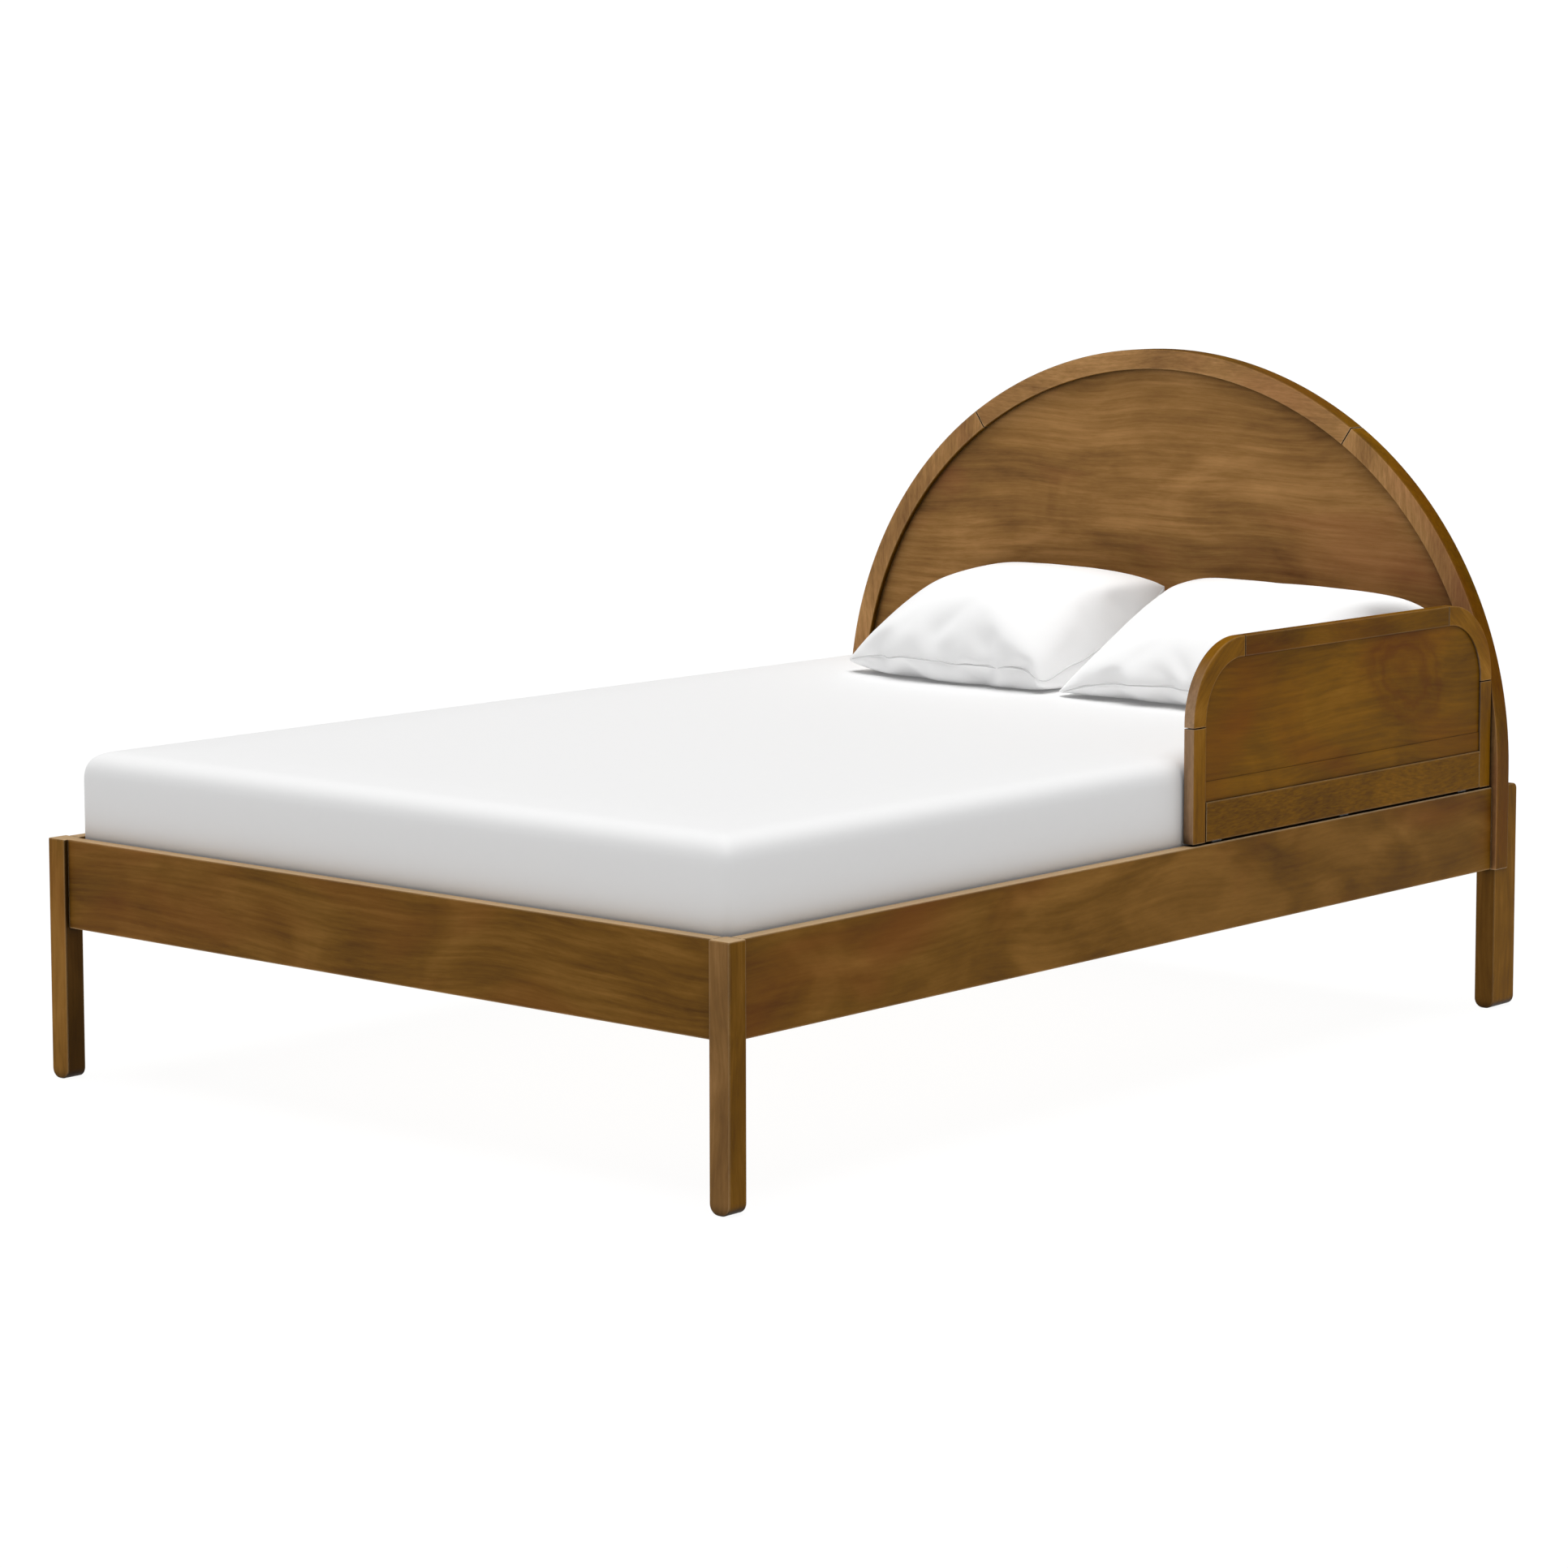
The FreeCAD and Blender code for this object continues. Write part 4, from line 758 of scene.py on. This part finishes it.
class BED_OT_mattress(bpy.types.Operator):
    """Foam mattress core in its ticking"""
    bl_idname = "bed.mattress"
    bl_label = "Mattress"

    def execute(self, context):
        linen = context.scene.bed_linen
        low, high = mattress_limits(0.0028)
        core = slab("mattress_core", low, high, edge_planes(low, high, linen.edge_fall, 0.09))
        round_block(core, low, high, linen.edge_fall, CORNER_POWER, EDGE_POWER,
                    linen.crown_reach, linen.crown_drop)
        make_active(core)
        bpy.ops.object.shade_smooth()
        paint(core, cotton("cotton_ticking", linen.core_colour, thread=0.003))
        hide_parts("mattress")
        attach(core, "mattress")
        return {"FINISHED"}


class BED_OT_fitted_sheet(bpy.types.Operator):
    """Fitted sheet drawn over the mattress and tucked under it on elastic"""
    bl_idname = "bed.fitted_sheet"
    bl_label = "Fitted sheet"

    def execute(self, context):
        linen = context.scene.bed_linen
        low, high = mattress_limits(0.0014)
        low.z -= 0.0002
        planes = edge_planes(low, high, linen.edge_fall, 0.06)
        planes += [(0, low.x + linen.tuck), (0, high.x - linen.tuck),
                   (1, low.y + linen.tuck), (1, high.y - linen.tuck)]
        cover = slab("fitted_sheet", low, high, planes)
        # The middle of the underside is left open.
        make_active(cover)
        bpy.ops.object.mode_set(mode="EDIT")
        bpy.ops.mesh.select_mode(type="FACE")
        bpy.ops.mesh.select_all(action="DESELECT")
        shell = bmesh.from_edit_mesh(cover.data)
        for face in shell.faces:
            middle = face.calc_center_median()
            inside = (low.x + linen.tuck < middle.x < high.x - linen.tuck
                      and low.y + linen.tuck < middle.y < high.y - linen.tuck)
            face.select_set(middle.z < low.z + 0.0001 and inside)
        bmesh.update_edit_mesh(cover.data)
        bpy.ops.mesh.delete(type="FACE")
        bpy.ops.object.mode_set(mode="OBJECT")
        round_block(cover, low, high, linen.edge_fall, CORNER_POWER, EDGE_POWER,
                    linen.crown_reach, linen.crown_drop)
        self.draw_corners(cover, low, high)
        hem = self.elastic(context, cover, low)
        apply_modifier(cover, "SOLIDIFY", thickness=linen.sheet_thickness, offset=1)
        make_active(cover)
        bpy.ops.object.shade_smooth()
        white = cotton("cotton_percale_sheet", linen.sheet_colour)
        paint(cover, white)
        paint(hem, white)
        for piece in (cover, hem):
            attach(piece, "mattress")
        return {"FINISHED"}

    @staticmethod
    def draw_corners(cover, low, high):
        """Small pulls that run down from the top at each corner, where the cloth is sewn."""
        for vertex in cover.data.vertices:
            place = vertex.co
            far = min((place - Vector((x, y, place.z))).length
                      for x in (low.x, high.x) for y in (low.y, high.y))
            share = max(0.0, 1 - far / 0.16)
            depth = (place.z - low.z) / (high.z - low.z)
            if share > 0 and 0.02 < depth < 0.9:
                ripple = math.sin(far * 240) * 0.0011 * share * (1 - depth)
                outward = Vector((place.x - (low.x + high.x) / 2, place.y - (low.y + high.y) / 2, 0))
                vertex.co = place - outward.normalized() * (abs(ripple))

    @staticmethod
    def elastic(context, cover, low):
        """The gathered elastic hem round the opening underneath."""
        make_active(cover)
        bpy.ops.object.mode_set(mode="EDIT")
        bpy.ops.mesh.select_mode(type="EDGE")
        bpy.ops.mesh.select_all(action="DESELECT")
        shell = bmesh.from_edit_mesh(cover.data)
        for edge in shell.edges:
            edge.select_set(edge.is_boundary)
        bmesh.update_edit_mesh(cover.data)
        bpy.ops.mesh.duplicate()
        bpy.ops.mesh.separate(type="SELECTED")
        bpy.ops.object.mode_set(mode="OBJECT")
        hem = [piece for piece in context.selected_objects if piece is not cover][0]
        hem.name = "sheet_elastic"
        make_active(hem)
        bpy.ops.object.convert(target="CURVE")
        hem.data.bevel_depth = 0.0014
        hem.data.bevel_resolution = 3
        bpy.ops.object.convert(target="MESH")
        bpy.ops.object.shade_smooth()
        return hem


class BED_OT_pillows(bpy.types.Operator):
    """Two pillows leaning on the headboard, filled by cloth simulation, with stitched seams"""
    bl_idname = "bed.pillows"
    bl_label = "Pillows"

    def execute(self, context):
        linen = context.scene.bed_linen
        # The pillow cases carry a faint painted glow.
        white = cotton("cotton_sateen_pillow", linen.pillow_colour, soft=0.15, painted_glow=0.07)
        thread = cotton("pillow_seam_cotton", linear("#e6e6e6")[:3], thread=0.001)
        poses = (
            PillowPose("pillow_left", 1, middle=-0.175, front=0.5256, turn=4.7, lean=9.1,
                       seam_height=0.034, corner_pull=0.082, corner_sag=0.038,
                       corner_lift=0.100, front_loft=1.11, back_loft=0.85,
                       shoulder=-0.42, crest=0.002),
            PillowPose("pillow_right", -1, middle=0.340, front=0.500, turn=2.5, lean=10.1,
                       seam_height=0.029, corner_pull=0.063, corner_sag=0.051,
                       corner_lift=0.077, front_loft=0.60, back_loft=1.33,
                       shoulder=0.07, crest=0.007),
        )
        for name, pose in zip(("pillow_left", "pillow_right"), poses):
            width = pose.high.x - pose.low.x
            depth = linen.pillow_depth
            case, ring = self.fill_case(name, width, depth, linen.pillow_loft)
            for vertex in case.data.vertices:
                vertex.co = pose.place(vertex.co, depth)
            seam = self.seam(context, name + "_seam", [case.data.vertices[i].co.copy() for i in ring],
                             linen.seam_width)
            apply_modifier(case, "SUBSURF", levels=1, render_levels=1)
            make_active(case)
            bpy.ops.object.shade_smooth()
            paint(case, white)
            paint(seam, thread)
            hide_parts(name)
            for piece in (case, seam):
                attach(piece, name)
        return {"FINISHED"}

    @staticmethod
    def fill_case(name, width, depth, loft):
        """A pillow case lying loose and filled, and the vertices round its seam in order."""
        deselect()
        bpy.ops.mesh.primitive_cube_add(size=1, scale=(width, depth, 0.024))
        case = bpy.context.object
        case.name = name + "_case"
        bpy.ops.object.transform_apply(location=True, rotation=True, scale=True)
        apply_modifier(case, "REMESH", mode="VOXEL", voxel_size=0.0075)
        seed = Vector((3.1, 0.4, 1.7)) if name.endswith("left") else Vector((8.2, 5.5, 2.9))
        for vertex in case.data.vertices:
            u, v = 2 * vertex.co.x / width, 2 * vertex.co.y / depth
            fill = max(0.0, (1 - abs(u) ** 3) * (1 - abs(v) ** 3))
            vertex.co.z *= 1 + 3.5 * fill
            vertex.co = bowed(vertex.co, width, depth, 0.022)
            vertex.co += noise_vector(vertex.co * 9 + seed) * 0.0014
        ring = []
        for point in pillow_outline(width, depth, 0.022, 320):
            nearest = min(case.data.vertices, key=lambda v: (v.co - point).length_squared)
            if nearest.index not in ring[-1:] + ring[:1]:
                ring.append(nearest.index)
        inflate(case)
        apply_modifier(case, "SMOOTH", factor=0.5, iterations=20)
        highest = max(abs(vertex.co.z) for vertex in case.data.vertices)
        for vertex in case.data.vertices:
            vertex.co.z *= loft / 2 / highest
        return case, ring

    @staticmethod
    def seam(context, name, points, thickness):
        """A slim stitched seam through points, as a closed tube."""
        count = len(points)
        smooth = points
        for _ in range(6):
            smooth = [(smooth[k - 1] + smooth[k] * 2 + smooth[(k + 1) % count]) / 4
                      for k in range(count)]
        line = bpy.data.curves.new(name, "CURVE")
        line.dimensions = "3D"
        line.bevel_depth = thickness / 2
        line.bevel_resolution = 2
        spline = line.splines.new("POLY")
        spline.points.add(count - 1)
        for slot, point in zip(spline.points, smooth):
            slot.co = (*point, 1)
        spline.use_cyclic_u = True
        seam = bpy.data.objects.new(name, line)
        context.collection.objects.link(seam)
        make_active(seam)
        bpy.ops.object.convert(target="MESH")
        bpy.ops.object.shade_smooth()
        return seam


class BED_PT_looks(bpy.types.Panel):
    """Lists the steps that finish the bed"""
    bl_label = "Arched bed"
    bl_idname = "BED_PT_looks"
    bl_space_type = "VIEW_3D"
    bl_region_type = "UI"
    bl_category = "Bed"

    def draw(self, context):
        for step in STEPS:
            self.layout.operator(step.bl_idname)
        for group in (context.scene.bed_wood, context.scene.bed_linen, context.scene.bed_studio):
            column = self.layout.column()
            for name in group.bl_rna.properties.keys():
                if name not in ("rna_type", "name"):
                    column.prop(group, name)


STEPS = (BED_OT_studio, BED_OT_frame_finish, BED_OT_fittings_finish, BED_OT_mattress,
         BED_OT_fitted_sheet, BED_OT_pillows)
CLASSES = (BedWoodSettings, BedLinenSettings, BedStudioSettings) + STEPS + (BED_PT_looks,)


def register():
    for item in CLASSES:
        bpy.utils.register_class(item)
    bpy.types.Scene.bed_wood = bpy.props.PointerProperty(type=BedWoodSettings)
    bpy.types.Scene.bed_linen = bpy.props.PointerProperty(type=BedLinenSettings)
    bpy.types.Scene.bed_studio = bpy.props.PointerProperty(type=BedStudioSettings)


def unregister():
    del bpy.types.Scene.bed_studio
    del bpy.types.Scene.bed_linen
    del bpy.types.Scene.bed_wood
    for item in reversed(CLASSES):
        bpy.utils.unregister_class(item)


def main():
    """Registers the add-on and makes every piece in order."""
    register()
    bpy.ops.bed.studio()
    bpy.ops.bed.frame_finish()
    bpy.ops.bed.fittings_finish()
    bpy.ops.bed.mattress()
    bpy.ops.bed.fitted_sheet()
    bpy.ops.bed.pillows()


if __name__ == "__main__":
    main()
